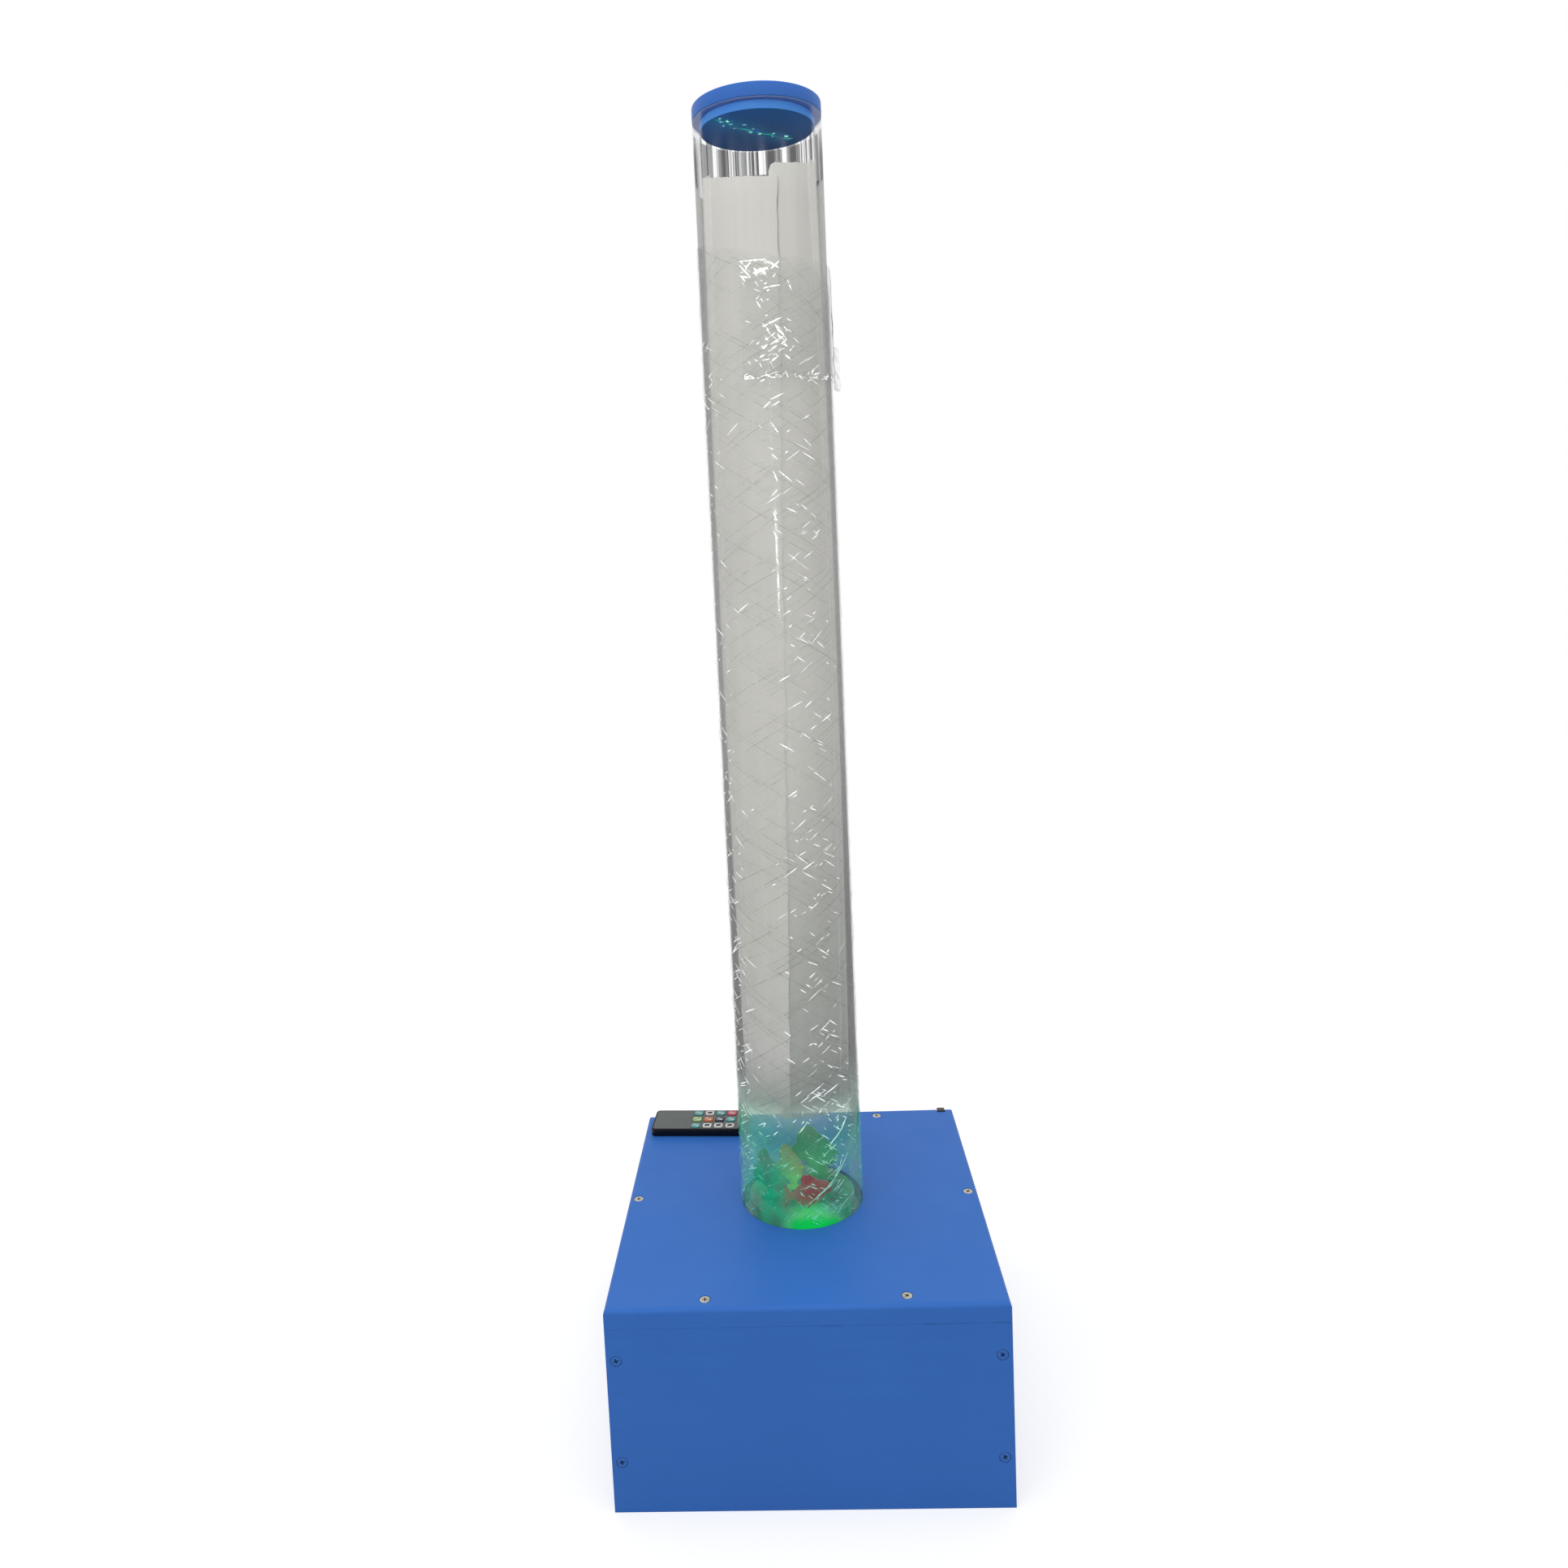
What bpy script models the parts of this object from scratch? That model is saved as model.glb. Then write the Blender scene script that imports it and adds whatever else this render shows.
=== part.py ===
"""Bubble tube: a clear tube with a cap, standing in a painted wooden base box that
holds the air pump and the lamp. Metres, +Z up. The origin is at the middle of the
underside of the box, and the front faces -Y."""
import math

import bmesh
import bpy
from mathutils import Matrix, Vector

# General sizes
FIT = 0.0003
OVERRUN = 0.004
MERGE = 0.00001
TUBE_SIDES = 48
ROUND_SIDES = 24
SMALL_SIDES = 12

# Base box
BOX_WIDTH = 0.296
BOX_DEPTH = 0.296
BOX_HEIGHT = 0.160
BOARD = 0.015
BOTTOM_BOARD = 0.009
TOP_ROUND = 0.004
TOP_ROUND_STEPS = 4
VENT_RADIUS = 0.003
VENT_PITCH = 0.012
VENT_COUNT = 5
VENT_HEIGHT = 0.110

# Countersunk wood screws
SCREW_HEAD_RADIUS = 0.004
SCREW_HEAD_RIM = 0.0005
SCREW_HEAD_DEPTH = 0.0028
SCREW_SHANK_RADIUS = 0.0018
SCREW_LENGTH = 0.035
SCREW_TIP = 0.004
SCREW_SINK = 0.0002
ROW_SHARE = 0.25
TOP_ROW_INSET = 0.011
TOP_SIDE_INSET = 0.008
FACE_SHARE = 0.25

# Clear tube and the pieces at its foot
TUBE_RADIUS = 0.050
TUBE_WALL = 0.005
TUBE_LENGTH = 0.890
TUBE_HOLE_CLEARANCE = 0.0009
PLATE_RADIUS = 0.065
PLATE_THICKNESS = 0.008
BARB_FLANGE_RADIUS = 0.007
BARB_FLANGE = 0.002
BARB_SHANK_RADIUS = 0.004
BARB_SHANK_DROP = 0.005
BARB_RADIUS = 0.003
BARB_DROP = 0.010
BARB_BORE_RADIUS = 0.0012
DISC_CLEARANCE = 0.0006
DISC_THICKNESS = 0.004
DISC_RISE = 0.003
DISC_SKIRT_INSET = 0.001
DISC_SKIRT_WALL = 0.003
DISC_HOLE_RADIUS = 0.001
DISC_HOLE_CIRCLES = (0.014, 0.029)
DISC_HOLE_COUNTS = (4, 8)

# Cap
CAP_DISC_THICKNESS = 0.0105
CAP_ROUND = 0.001
CAP_PLUG_THICKNESS = 0.007
CAP_PLUG_CLEARANCE = 0.0005
CAP_VENT_RADIUS = 0.003

# Lamp under the base plate
LAMP_BOARD = 0.0016
LAMP_OUTER_RADIUS = 0.040
LAMP_INNER_RADIUS = 0.014
CHIP_SIZE = 0.005
CHIP_HEIGHT = 0.0016
CHIP_COUNT = 12
CHIP_CIRCLE = 0.027
CHIP_SEAT = 0.0004

# Rolled liner inside the tube, and the film and tape round it
LINER_GAP = 0.0005
LINER_THICKNESS = 0.0004
LINER_LAYER = 0.0009
LINER_BOTTOM = 0.250
LINER_TOP = 0.997
LINER_TOP_DIP = 0.012
LINER_TOP_STEP = 0.008
LINER_START = math.radians(-17)
LINER_OVERLAP = math.radians(9)
LINER_SKEW = math.radians(27)
LINER_COLUMNS = 36
LINER_ROWS = 5
WRAP_GAP = 0.0005
WRAP_THICKNESS = 0.0003
WRAP_LAYER = 0.0007
WRAP_TOP = 0.922
WRAP_TOP_STEP = 0.080
WRAP_START = math.radians(-180)
WRAP_OVERLAP = math.radians(15)
WRAP_COLUMNS = 48
TAPE_THICKNESS = 0.0003
TAPE_GAP = 0.0004
TAPE_BOTTOM = 0.833
TAPE_TOP = 0.920
TAPE_START = math.radians(-20)
TAPE_TURN = math.radians(108)
TAPE_COLUMNS = 12
FLAP_BOTTOM = 0.829
FLAP_TOP = 0.863
FLAP_LENGTH = 0.016
FLAP_FLARE = 0.005
FLAP_COLUMNS = 4

# Floating plastic fish: length, height and thickness, then the middle of each in plan
FISH_SIZES = {
    "fish_red": (0.042, 0.024, 0.010),
    "fish_green": (0.051, 0.036, 0.011),
    "fish_yellow": (0.044, 0.021, 0.010),
    "fish_teal": (0.047, 0.019, 0.009),
}
FISH_PLACES = {
    "fish_red": (0.004, -0.027),
    "fish_green": (0.016, 0.020),
    "fish_yellow": (-0.007, 0.002),
    "fish_teal": (-0.0265, -0.009),
}
FISH_SIDES = 12
FISH_RINGS = 8
FISH_BODY_SHARE = 0.76
FISH_TAIL_THICKNESS_SHARE = 0.34
TAIL_SHARES = ((0.0, -0.5), (0.34, -0.12), (0.34, 0.12), (0.0, 0.5), (0.07, 0.0))
FIN_SHARES = ((0.42, 0.20), (0.40, 0.50), (0.47, 0.78), (0.62, 0.46), (0.66, 0.20))

# Air pump on the bottom board
PUMP_PLACE = (-0.062, 0.045)
PUMP_LENGTH = 0.092
PUMP_WIDTH = 0.056
PUMP_WALL = 0.002
PUMP_TRAY_HEIGHT = 0.016
PUMP_COVER_HEIGHT = 0.026
PUMP_CORNER = 0.004
PUMP_AXIS_HEIGHT = 0.019
PIVOT_INSET = 0.008
PIVOT_OFFSET = 0.0076
PIVOT_RADIUS = 0.002
KNUCKLE_RADIUS = 0.005
ARM_LENGTH = 0.058
ARM_THICKNESS = 0.003
ARM_HEIGHT = 0.010
MAGNET_LENGTH = 0.008
MAGNET_DEPTH = 0.008
MAGNET_HEIGHT = 0.012
MAGNET_GAP = 0.0025
MAGNET_SEAT = 0.0004
COIL_CORE_RADIUS = 0.005
COIL_WINDING_RADIUS = 0.0092
COIL_FLANGE_RADIUS = 0.011
COIL_FLANGE = 0.0015
COIL_POLE = 0.001
DIAPHRAGM_REACH = 0.031
DIAPHRAGM_RADIUS = 0.009
DIAPHRAGM_STEM_RADIUS = 0.004
DIAPHRAGM_DEPTH = 0.005
DIAPHRAGM_RIM = 0.002
DIAPHRAGM_CLEARANCE = 0.0013
VALVE_LENGTH = 0.026
VALVE_HEIGHT = 0.029
OUTLET_RADIUS = 0.0022
OUTLET_HOLE_RADIUS = 0.0026
OUTLET_REACH = 0.008
OUTLET_DROP = 0.003

# Air hose and non-return valve
HOSE_RADIUS = 0.003
HOSE_STRAIGHT = 0.006
CHECK_PLACE = (-0.055, 0.095)
CHECK_DROP = 0.067
CHECK_LENGTH = 0.030
CHECK_BODY_LENGTH = 0.010
CHECK_BODY_RADIUS = 0.008
CHECK_BARB_RADIUS = 0.0022

# Supply socket and switch in the back board
INLET_PLACE = 0.060
SOCKET_HEIGHT = 0.040
INLET_FLANGE_RADIUS = 0.006
INLET_FLANGE = 0.002
INLET_BODY_RADIUS = 0.004
INLET_LENGTH = 0.020
INLET_BORE_RADIUS = 0.00275
INLET_BORE_DEPTH = 0.009
INLET_PIN_RADIUS = 0.001
SWITCH_PLACE = 0.020
SWITCH_FLANGE_LENGTH = 0.021
SWITCH_FLANGE_HEIGHT = 0.015
SWITCH_FLANGE = 0.002
SWITCH_RECESS = 0.0045
SWITCH_BODY_LENGTH = 0.0186
SWITCH_BODY_HEIGHT = 0.0126
SWITCH_BODY_DEPTH = 0.018
ROCKER_LENGTH = 0.014
ROCKER_HEIGHT = 0.0084
ROCKER_DEPTH = 0.0048
ROCKER_HOLLOW = 0.0012
ROCKER_HEEL_SHARE = 0.75
ROCKER_AXIS_DEPTH = 0.003
ROCKER_END_CLEARANCE = 0.001
ROCKER_POCKET_DEPTH = 0.006
ROCKER_TILT = math.radians(8)

# Lamp controller, its receiver eye and the leads
CONTROLLER_INSET = 0.071
CONTROLLER_BACK = 0.040
CONTROLLER_LENGTH = 0.064
CONTROLLER_WIDTH = 0.040
CONTROLLER_HEIGHT = 0.022
CONTROLLER_ROUND = 0.003
EYE_INSET = 0.0114
EYE_LENGTH = 0.0074
EYE_WIDTH = 0.0066
EYE_HEIGHT = 0.0032
EYE_POCKET_DEPTH = 0.0024
EYE_ROUND = 0.0008
EYE_HOLE_RADIUS = 0.0018
EYE_HOLE_INSET = 0.007
LEAD_RADIUS = 0.0013
EYE_LEAD_DROP = 0.0024
LEAD_STRAIGHT = 0.012
SPLICE_PLACE = (0.020, 0.085)
SPLICE_LENGTH = 0.022
SPLICE_WIDTH = 0.012
SPLICE_HEIGHT = 0.016
CORD_STEP_DIAMETERS = 2.5

# Routes of the hoses and leads inside the box, as shares of its inner half width, inner half
# depth and inner height
LOWER_HOSE_SHARES = [
    (-0.492, 0.752, 0.285), (-0.429, 0.744, 0.388),
]
UPPER_HOSE_SHARES = [
    (-0.376, 0.647, 0.816), (-0.301, 0.511, 0.823), (-0.218, 0.368, 0.757),
    (-0.135, 0.226, 0.654), (-0.06, 0.09, 0.587), (-0.008, 0.008, 0.646),
]
INLET_LEAD_SHARES = [
    (0.459, 0.827, 0.211), (0.406, 0.729, 0.108), (0.301, 0.654, 0.06),
]
SWITCH_LEAD_SHARES = [
    (0.15, 0.812, 0.215), (0.15, 0.744, 0.138),
]
PUMP_LEAD_SHARES = [
    (-0.045, 0.361, 0.053), (0.045, 0.466, 0.053),
]
CONTROLLER_LEAD_SHARES = [
    (0.353, 0.526, 0.081), (0.271, 0.594, 0.068),
]
LAMP_LEAD_SHARES = [
    (0.226, 0.226, 0.595), (0.211, 0.451, 0.3), (0.165, 0.586, 0.182),
]
EYE_LEAD_SHARES = [
    (0.752, 0.707, 0.742), (0.541, 0.722, 0.462), (0.301, 0.692, 0.167),
]

# Remote control, in its own frame: +X towards its keys, origin under its middle
REMOTE_INSET = (0.050, 0.0245)
REMOTE_TURN = math.radians(-3)
REMOTE_LENGTH = 0.085
REMOTE_WIDTH = 0.038
REMOTE_THICKNESS = 0.007
REMOTE_CORNER = 0.004
KEY_COLUMNS = 4
KEY_ROWS = 3
KEY_COLUMN_PITCH = 0.0108
KEY_ROW_PITCH = 0.0122
KEY_END_INSET = 0.0105
KEY_LENGTH = 0.0082
KEY_WIDTH = 0.0076
KEY_ROUND = 0.0007
KEY_POCKET_DEPTH = 0.0025
KEY_TRAVEL = 0.0005
KEY_PROUD = 0.0006
TRAY_LENGTH = 0.026
TRAY_WIDTH = 0.0224
TRAY_HEIGHT = 0.0032
TRAY_UNDER = 0.0012
CELL_RADIUS = 0.0099
CELL_HEIGHT = 0.0024
CELL_FLOOR = 0.0005

# Heights that the stack of pieces gives
INNER_WIDTH = BOX_WIDTH - 2 * BOARD
INNER_DEPTH = BOX_DEPTH - 2 * BOARD
TOP_UNDERSIDE = BOX_HEIGHT - BOARD
PLATE_TOP = TOP_UNDERSIDE - FIT
PLATE_UNDERSIDE = PLATE_TOP - PLATE_THICKNESS
TUBE_BOTTOM = PLATE_TOP + FIT
TUBE_TOP = TUBE_BOTTOM + TUBE_LENGTH
TUBE_INNER_RADIUS = TUBE_RADIUS - TUBE_WALL
DISC_TOP = BOX_HEIGHT + DISC_RISE
LAMP_TOP = PLATE_UNDERSIDE - FIT - CHIP_HEIGHT
LAMP_UNDERSIDE = LAMP_TOP - LAMP_BOARD
BARB_BOTTOM = PLATE_UNDERSIDE - BARB_SHANK_DROP - BARB_DROP
CHECK_BOTTOM = TOP_UNDERSIDE - CHECK_DROP
FLOOR = BOTTOM_BOARD + FIT
PUMP_SPLIT = FLOOR + PUMP_TRAY_HEIGHT
PUMP_AXIS = FLOOR + PUMP_AXIS_HEIGHT
EYE_FLOOR = BOX_HEIGHT - EYE_POCKET_DEPTH

PARTS = "bubble_tube"
CUTTERS = "cutters"


def clear_scene():
    """Remove what the open file holds, and make the two collections."""
    for piece in list(bpy.data.objects):
        bpy.data.objects.remove(piece, do_unlink=True)
    for name in (PARTS, CUTTERS):
        folder = bpy.data.collections.new(name)
        bpy.context.scene.collection.children.link(folder)


def finish(name, colour, roughness, metallic=0.0, transmission=0.0):
    """A Principled material for one sub-part."""
    material = bpy.data.materials.new(name)
    material.use_nodes = True
    shader = material.node_tree.nodes["Principled BSDF"]
    shader.inputs["Base Color"].default_value = (*colour, 1.0)
    shader.inputs["Roughness"].default_value = roughness
    shader.inputs["Metallic"].default_value = metallic
    shader.inputs["Transmission Weight"].default_value = transmission
    return material


def file_under(piece, name, material=None):
    """Name a piece, give it its material and put it in the collection of parts."""
    piece.name = name
    piece.data.name = name
    piece.data.materials.clear()
    if material:
        piece.data.materials.append(material)
    for folder in list(piece.users_collection):
        folder.objects.unlink(piece)
    bpy.data.collections[PARTS].objects.link(piece)
    return piece


def as_cutter(piece):
    """Move a shape to the cutters."""
    for folder in list(piece.users_collection):
        folder.objects.unlink(piece)
    bpy.data.collections[CUTTERS].objects.link(piece)
    piece.hide_render = True
    piece.display_type = 'WIRE'
    return piece


def box(name, size, centre, material=None):
    """A box from a unit cube."""
    bpy.ops.mesh.primitive_cube_add(size=1)
    piece = bpy.context.object
    piece.data.transform(Matrix.Diagonal((*size, 1)))
    piece.location = centre
    return file_under(piece, name, material)


def cylinder(name, radius, depth, centre, material=None, sides=ROUND_SIDES, turn=(0, 0, 0)):
    """A plain cylinder, along Z unless it is turned."""
    bpy.ops.mesh.primitive_cylinder_add(vertices=sides, radius=radius, depth=depth)
    piece = bpy.context.object
    piece.location = centre
    piece.rotation_euler = turn
    file_under(piece, name, material)
    shade(piece)
    return piece


def shade(piece):
    """Smooth shading with the hard edges kept."""
    piece.data.shade_smooth()
    piece.data.set_sharp_from_angle(angle=math.radians(35))


def turned(name, profile, material=None, centre=(0, 0, 0), sides=ROUND_SIDES, turn=(0, 0, 0)):
    """A turned shape: the profile (radius, height) runs down its outer side."""
    mesh = bpy.data.meshes.new(name)
    edges = [(index, index + 1) for index in range(len(profile) - 1)]
    if profile[0][0] > 0:
        edges.append((len(profile) - 1, 0))
    mesh.from_pydata([(radius, 0, height) for radius, height in profile], edges, [])
    piece = bpy.data.objects.new(name, mesh)
    bpy.data.collections[PARTS].objects.link(piece)
    file_under(piece, name, material)
    screw = piece.modifiers.new("turn", 'SCREW')
    screw.axis = 'Z'
    screw.steps = sides
    screw.render_steps = sides
    screw.use_merge_vertices = True
    screw.merge_threshold = MERGE
    screw.use_smooth_shade = False
    piece.location = centre
    piece.rotation_euler = turn
    return piece


def round_edges(piece, radius, steps, chosen=None):
    """Bevel the edges whose middle the test picks, or all of them."""
    bevel = piece.modifiers.new("round", 'BEVEL')
    bevel.width = radius
    bevel.segments = steps
    bevel.limit_method = 'ANGLE'
    if chosen:
        bevel.limit_method = 'WEIGHT'
        mesh = piece.data
        weights = mesh.attributes.new("bevel_weight_edge", 'FLOAT', 'EDGE')
        for edge in mesh.edges:
            ends = [mesh.vertices[index].co for index in edge.vertices]
            weights.data[edge.index].value = 1.0 if chosen(*ends) else 0.0
    return piece


def cut(piece, *cutters):
    """Take each cutter out of a piece."""
    for cutter in cutters:
        difference = piece.modifiers.new(cutter.name, 'BOOLEAN')
        difference.operation = 'DIFFERENCE'
        difference.solver = 'EXACT'
        difference.object = cutter
    return piece


def as_mesh(piece):
    """What a piece looks like with its modifiers, as a mesh in the world's frame."""
    bpy.context.view_layer.update()
    graph = bpy.context.evaluated_depsgraph_get()
    mesh = bpy.data.meshes.new_from_object(piece.evaluated_get(graph))
    mesh.transform(piece.matrix_world)
    return mesh


def copies(name, piece, places, material):
    """A numbered object for each place, all sharing one mesh."""
    mesh = as_mesh(piece)
    bpy.data.objects.remove(piece, do_unlink=True)
    for index, place in enumerate(places):
        copy = bpy.data.objects.new(f"{name}_{index + 1}", mesh)
        bpy.data.collections[PARTS].objects.link(copy)
        copy.matrix_world = place
    mesh.name = name
    mesh.materials.clear()
    mesh.materials.append(material)


def repeated(name, piece, places):
    """One shape that holds a copy of a piece at each place, to cut or join with."""
    pattern = as_mesh(piece)
    bpy.data.objects.remove(piece, do_unlink=True)
    shape = bmesh.new()
    for place in places:
        copy = pattern.copy()
        copy.transform(place)
        shape.from_mesh(copy)
        bpy.data.meshes.remove(copy)
    mesh = bpy.data.meshes.new(name)
    bmesh.ops.remove_doubles(shape, verts=shape.verts, dist=MERGE)
    shape.to_mesh(mesh)
    shape.free()
    group = bpy.data.objects.new(name, mesh)
    bpy.data.collections[PARTS].objects.link(group)
    return file_under(group, name)


def union(name, first, others, material):
    """One solid from a body and the shapes that are moulded with it."""
    for other in others:
        joint = first.modifiers.new(other.name, 'BOOLEAN')
        joint.operation = 'UNION'
        joint.solver = 'EXACT'
        joint.object = other
    mesh = as_mesh(first)
    mesh.transform(first.matrix_world.inverted())
    place = first.matrix_world.copy()
    for shape in (first, *others):
        bpy.data.objects.remove(shape, do_unlink=True)
    piece = bpy.data.objects.new(name, mesh)
    bpy.data.collections[PARTS].objects.link(piece)
    piece.matrix_world = place
    return file_under(piece, name, material)


def on_circle(radius, count, start=0.0):
    """Places evenly round the tube's axis."""
    for index in range(count):
        angle = start + index * math.tau / count
        yield Vector((radius * math.cos(angle), radius * math.sin(angle), 0))


def smooth_route(points, step):
    """Points on one smooth curve through the route's own points."""
    route = [Vector(point) for point in points]
    ends = [2 * route[0] - route[1], *route, 2 * route[-1] - route[-2]]
    smooth = []
    for before, start, end, after in zip(ends, ends[1:], ends[2:], ends[3:]):
        pieces = max(1, round((end - start).length / step))
        for index in range(pieces):
            share = index / pieces
            value = 2 * start + share * (end - before)
            value += share ** 2 * (2 * before - 5 * start + 4 * end - after)
            value += share ** 3 * (3 * start - before - 3 * end + after)
            smooth.append(value / 2)
    smooth.append(route[-1])
    return smooth


def tubing(name, route, radius, material=None):
    """A hose or a lead along a route."""
    curve = bpy.data.curves.new(name, 'CURVE')
    curve.dimensions = '3D'
    curve.bevel_depth = radius
    curve.bevel_resolution = 2
    curve.use_fill_caps = True
    points = smooth_route(route, CORD_STEP_DIAMETERS * 2 * radius)
    spline = curve.splines.new('POLY')
    spline.points.add(len(points) - 1)
    for slot, point in zip(spline.points, points):
        slot.co = (*point, 1)
    piece = bpy.data.objects.new(name, curve)
    bpy.data.collections[PARTS].objects.link(piece)
    return file_under(piece, name, material)


def curve_to_mesh(curve):
    """The same shape as a closed mesh, with its caps welded on."""
    mesh = as_mesh(curve)
    name = curve.name
    bpy.data.objects.remove(curve, do_unlink=True)
    shape = bmesh.new()
    shape.from_mesh(mesh)
    bmesh.ops.remove_doubles(shape, verts=shape.verts, dist=MERGE)
    bmesh.ops.recalc_face_normals(shape, faces=shape.faces)
    shape.to_mesh(mesh)
    shape.free()
    piece = bpy.data.objects.new(name, mesh)
    bpy.data.collections[PARTS].objects.link(piece)
    return file_under(piece, name)


def flat_shape(name, points, thickness):
    """A flat outline in X and Y with a thickness along Z, as a closed mesh."""
    curve = bpy.data.curves.new(name, 'CURVE')
    curve.dimensions = '2D'
    curve.fill_mode = 'BOTH'
    curve.extrude = thickness / 2
    spline = curve.splines.new('POLY')
    spline.points.add(len(points) - 1)
    for slot, point in zip(spline.points, points):
        slot.co = (*point, 0, 1)
    spline.use_cyclic_u = True
    drawing = bpy.data.objects.new(name, curve)
    bpy.data.collections[PARTS].objects.link(drawing)
    return curve_to_mesh(drawing)


def rolled_sheet(name, columns, rows, place, thickness, material):
    """A thin sheet: place turns (across, up), each from 0 to 1, into a point."""
    bpy.ops.mesh.primitive_grid_add(x_subdivisions=columns, y_subdivisions=rows, size=1)
    piece = bpy.context.object
    half = 1 / 2
    for vertex in piece.data.vertices:
        vertex.co = place(vertex.co.x + half, vertex.co.y + half)
    file_under(piece, name, material)
    solid = piece.modifiers.new("thickness", 'SOLIDIFY')
    solid.thickness = thickness
    solid.offset = -1
    return piece


def round_point(radius, angle, height):
    """A point round the tube: angle 0 is at the front, and it grows to the right."""
    return Vector((radius * math.sin(angle), -radius * math.cos(angle), height))


def screw_shape(name, length, clearance=0.0, rise=0.0):
    """A countersunk screw along -Z with its head at the origin, or its hole."""
    head = SCREW_HEAD_RADIUS + clearance
    shank = SCREW_SHANK_RADIUS + clearance
    end = -length - clearance
    profile = [(0, rise)]
    profile.append((head, rise))
    profile.append((head, -SCREW_HEAD_RIM - clearance))
    profile.append((shank, -SCREW_HEAD_DEPTH - clearance))
    profile.append((shank, end + SCREW_TIP))
    profile.append((0, end))
    return turned(name, profile, sides=SMALL_SIDES)


def screw_holes(name, places, length):
    """The cutter for the countersunk holes of one kind of screw."""
    sunk = [place @ Matrix.Translation((0, 0, -SCREW_SINK)) for place in places]
    hole = screw_shape(name + "_hole", length, FIT, OVERRUN)
    return as_cutter(repeated(name + "_holes", hole, sunk))


def screw_set(name, places, length, material):
    """Countersunk screws of one kind, and the cutter for their holes."""
    sunk = [place @ Matrix.Translation((0, 0, -SCREW_SINK)) for place in places]
    copies(name, screw_shape(name + "_shape", length), sunk, material)
    return screw_holes(name, places, length)


def make_base_box(paint, raw_wood, steel):
    """Six boards and the screws that hold them."""
    half_width = BOX_WIDTH / 2
    half_depth = BOX_DEPTH / 2
    wall_height = TOP_UNDERSIDE - FIT
    wall_middle = wall_height / 2

    rows = []
    for side_x in (-1, 1):
        for side_y in (-1, 1):
            across = side_x * BOX_WIDTH * ROW_SHARE
            back = side_y * (half_depth - TOP_ROW_INSET)
            rows.append(Matrix.Translation((across, back, BOX_HEIGHT)))
        side = side_x * (half_width - TOP_SIDE_INSET)
        rows.append(Matrix.Translation((side, 0, BOX_HEIGHT)))
    top_holes = screw_set("top_screw", rows, SCREW_LENGTH, steel)

    front_places = []
    back_places = []
    for side_x in (-1, 1):
        for height in (BOX_HEIGHT * FACE_SHARE, BOX_HEIGHT * (1 - FACE_SHARE)):
            across = side_x * (half_width - BOARD / 2)
            front = Matrix.Translation((across, -half_depth, height))
            front_places.append(front @ Matrix.Rotation(math.pi / 2, 4, 'X'))
            back = Matrix.Translation((across, half_depth, height))
            back_places.append(back @ Matrix.Rotation(-math.pi / 2, 4, 'X'))
    front_holes = screw_set("front_screw", front_places, SCREW_LENGTH, steel)
    back_holes = screw_holes("back_screw", back_places, SCREW_LENGTH)

    top = box("base_top", (BOX_WIDTH, BOX_DEPTH, BOARD),
              (0, 0, TOP_UNDERSIDE + BOARD / 2), paint)
    round_edges(top, TOP_ROUND, TOP_ROUND_STEPS, lambda one, other: one.z > 0 and other.z > 0)
    tube_hole = as_cutter(cylinder("tube_hole", TUBE_RADIUS + TUBE_HOLE_CLEARANCE,
                                   BOARD + 2 * OVERRUN, top.location, sides=TUBE_SIDES))
    cut(top, tube_hole, top_holes)

    front = box("base_front", (BOX_WIDTH, BOARD, wall_height),
                (0, -half_depth + BOARD / 2, wall_middle), paint)
    cut(front, front_holes, top_holes)
    back = box("base_back", (BOX_WIDTH, BOARD, wall_height),
               (0, half_depth - BOARD / 2, wall_middle), paint)
    vent = cylinder("vent", VENT_RADIUS, BOARD + 2 * OVERRUN, (0, 0, 0),
                    sides=SMALL_SIDES, turn=(math.pi / 2, 0, 0))
    vents = []
    for index in range(VENT_COUNT):
        across = (index - (VENT_COUNT - 1) / 2) * VENT_PITCH + PUMP_PLACE[0]
        vents.append(Matrix.Translation((across, back.location.y, VENT_HEIGHT)))
    vent_holes = as_cutter(repeated("vent_holes", vent, vents))
    cut(back, back_holes, top_holes, vent_holes)

    side_depth = INNER_DEPTH - 2 * FIT
    for name, side_x in (("base_left", -1), ("base_right", 1)):
        board = box(name, (BOARD, side_depth, wall_height),
                    (side_x * (half_width - BOARD / 2), 0, wall_middle), paint)
        cut(board, front_holes, back_holes, top_holes)

    box("base_bottom", (INNER_WIDTH - 2 * FIT, side_depth, BOTTOM_BOARD),
        (0, 0, BOTTOM_BOARD / 2), raw_wood)
    return top, back


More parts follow.
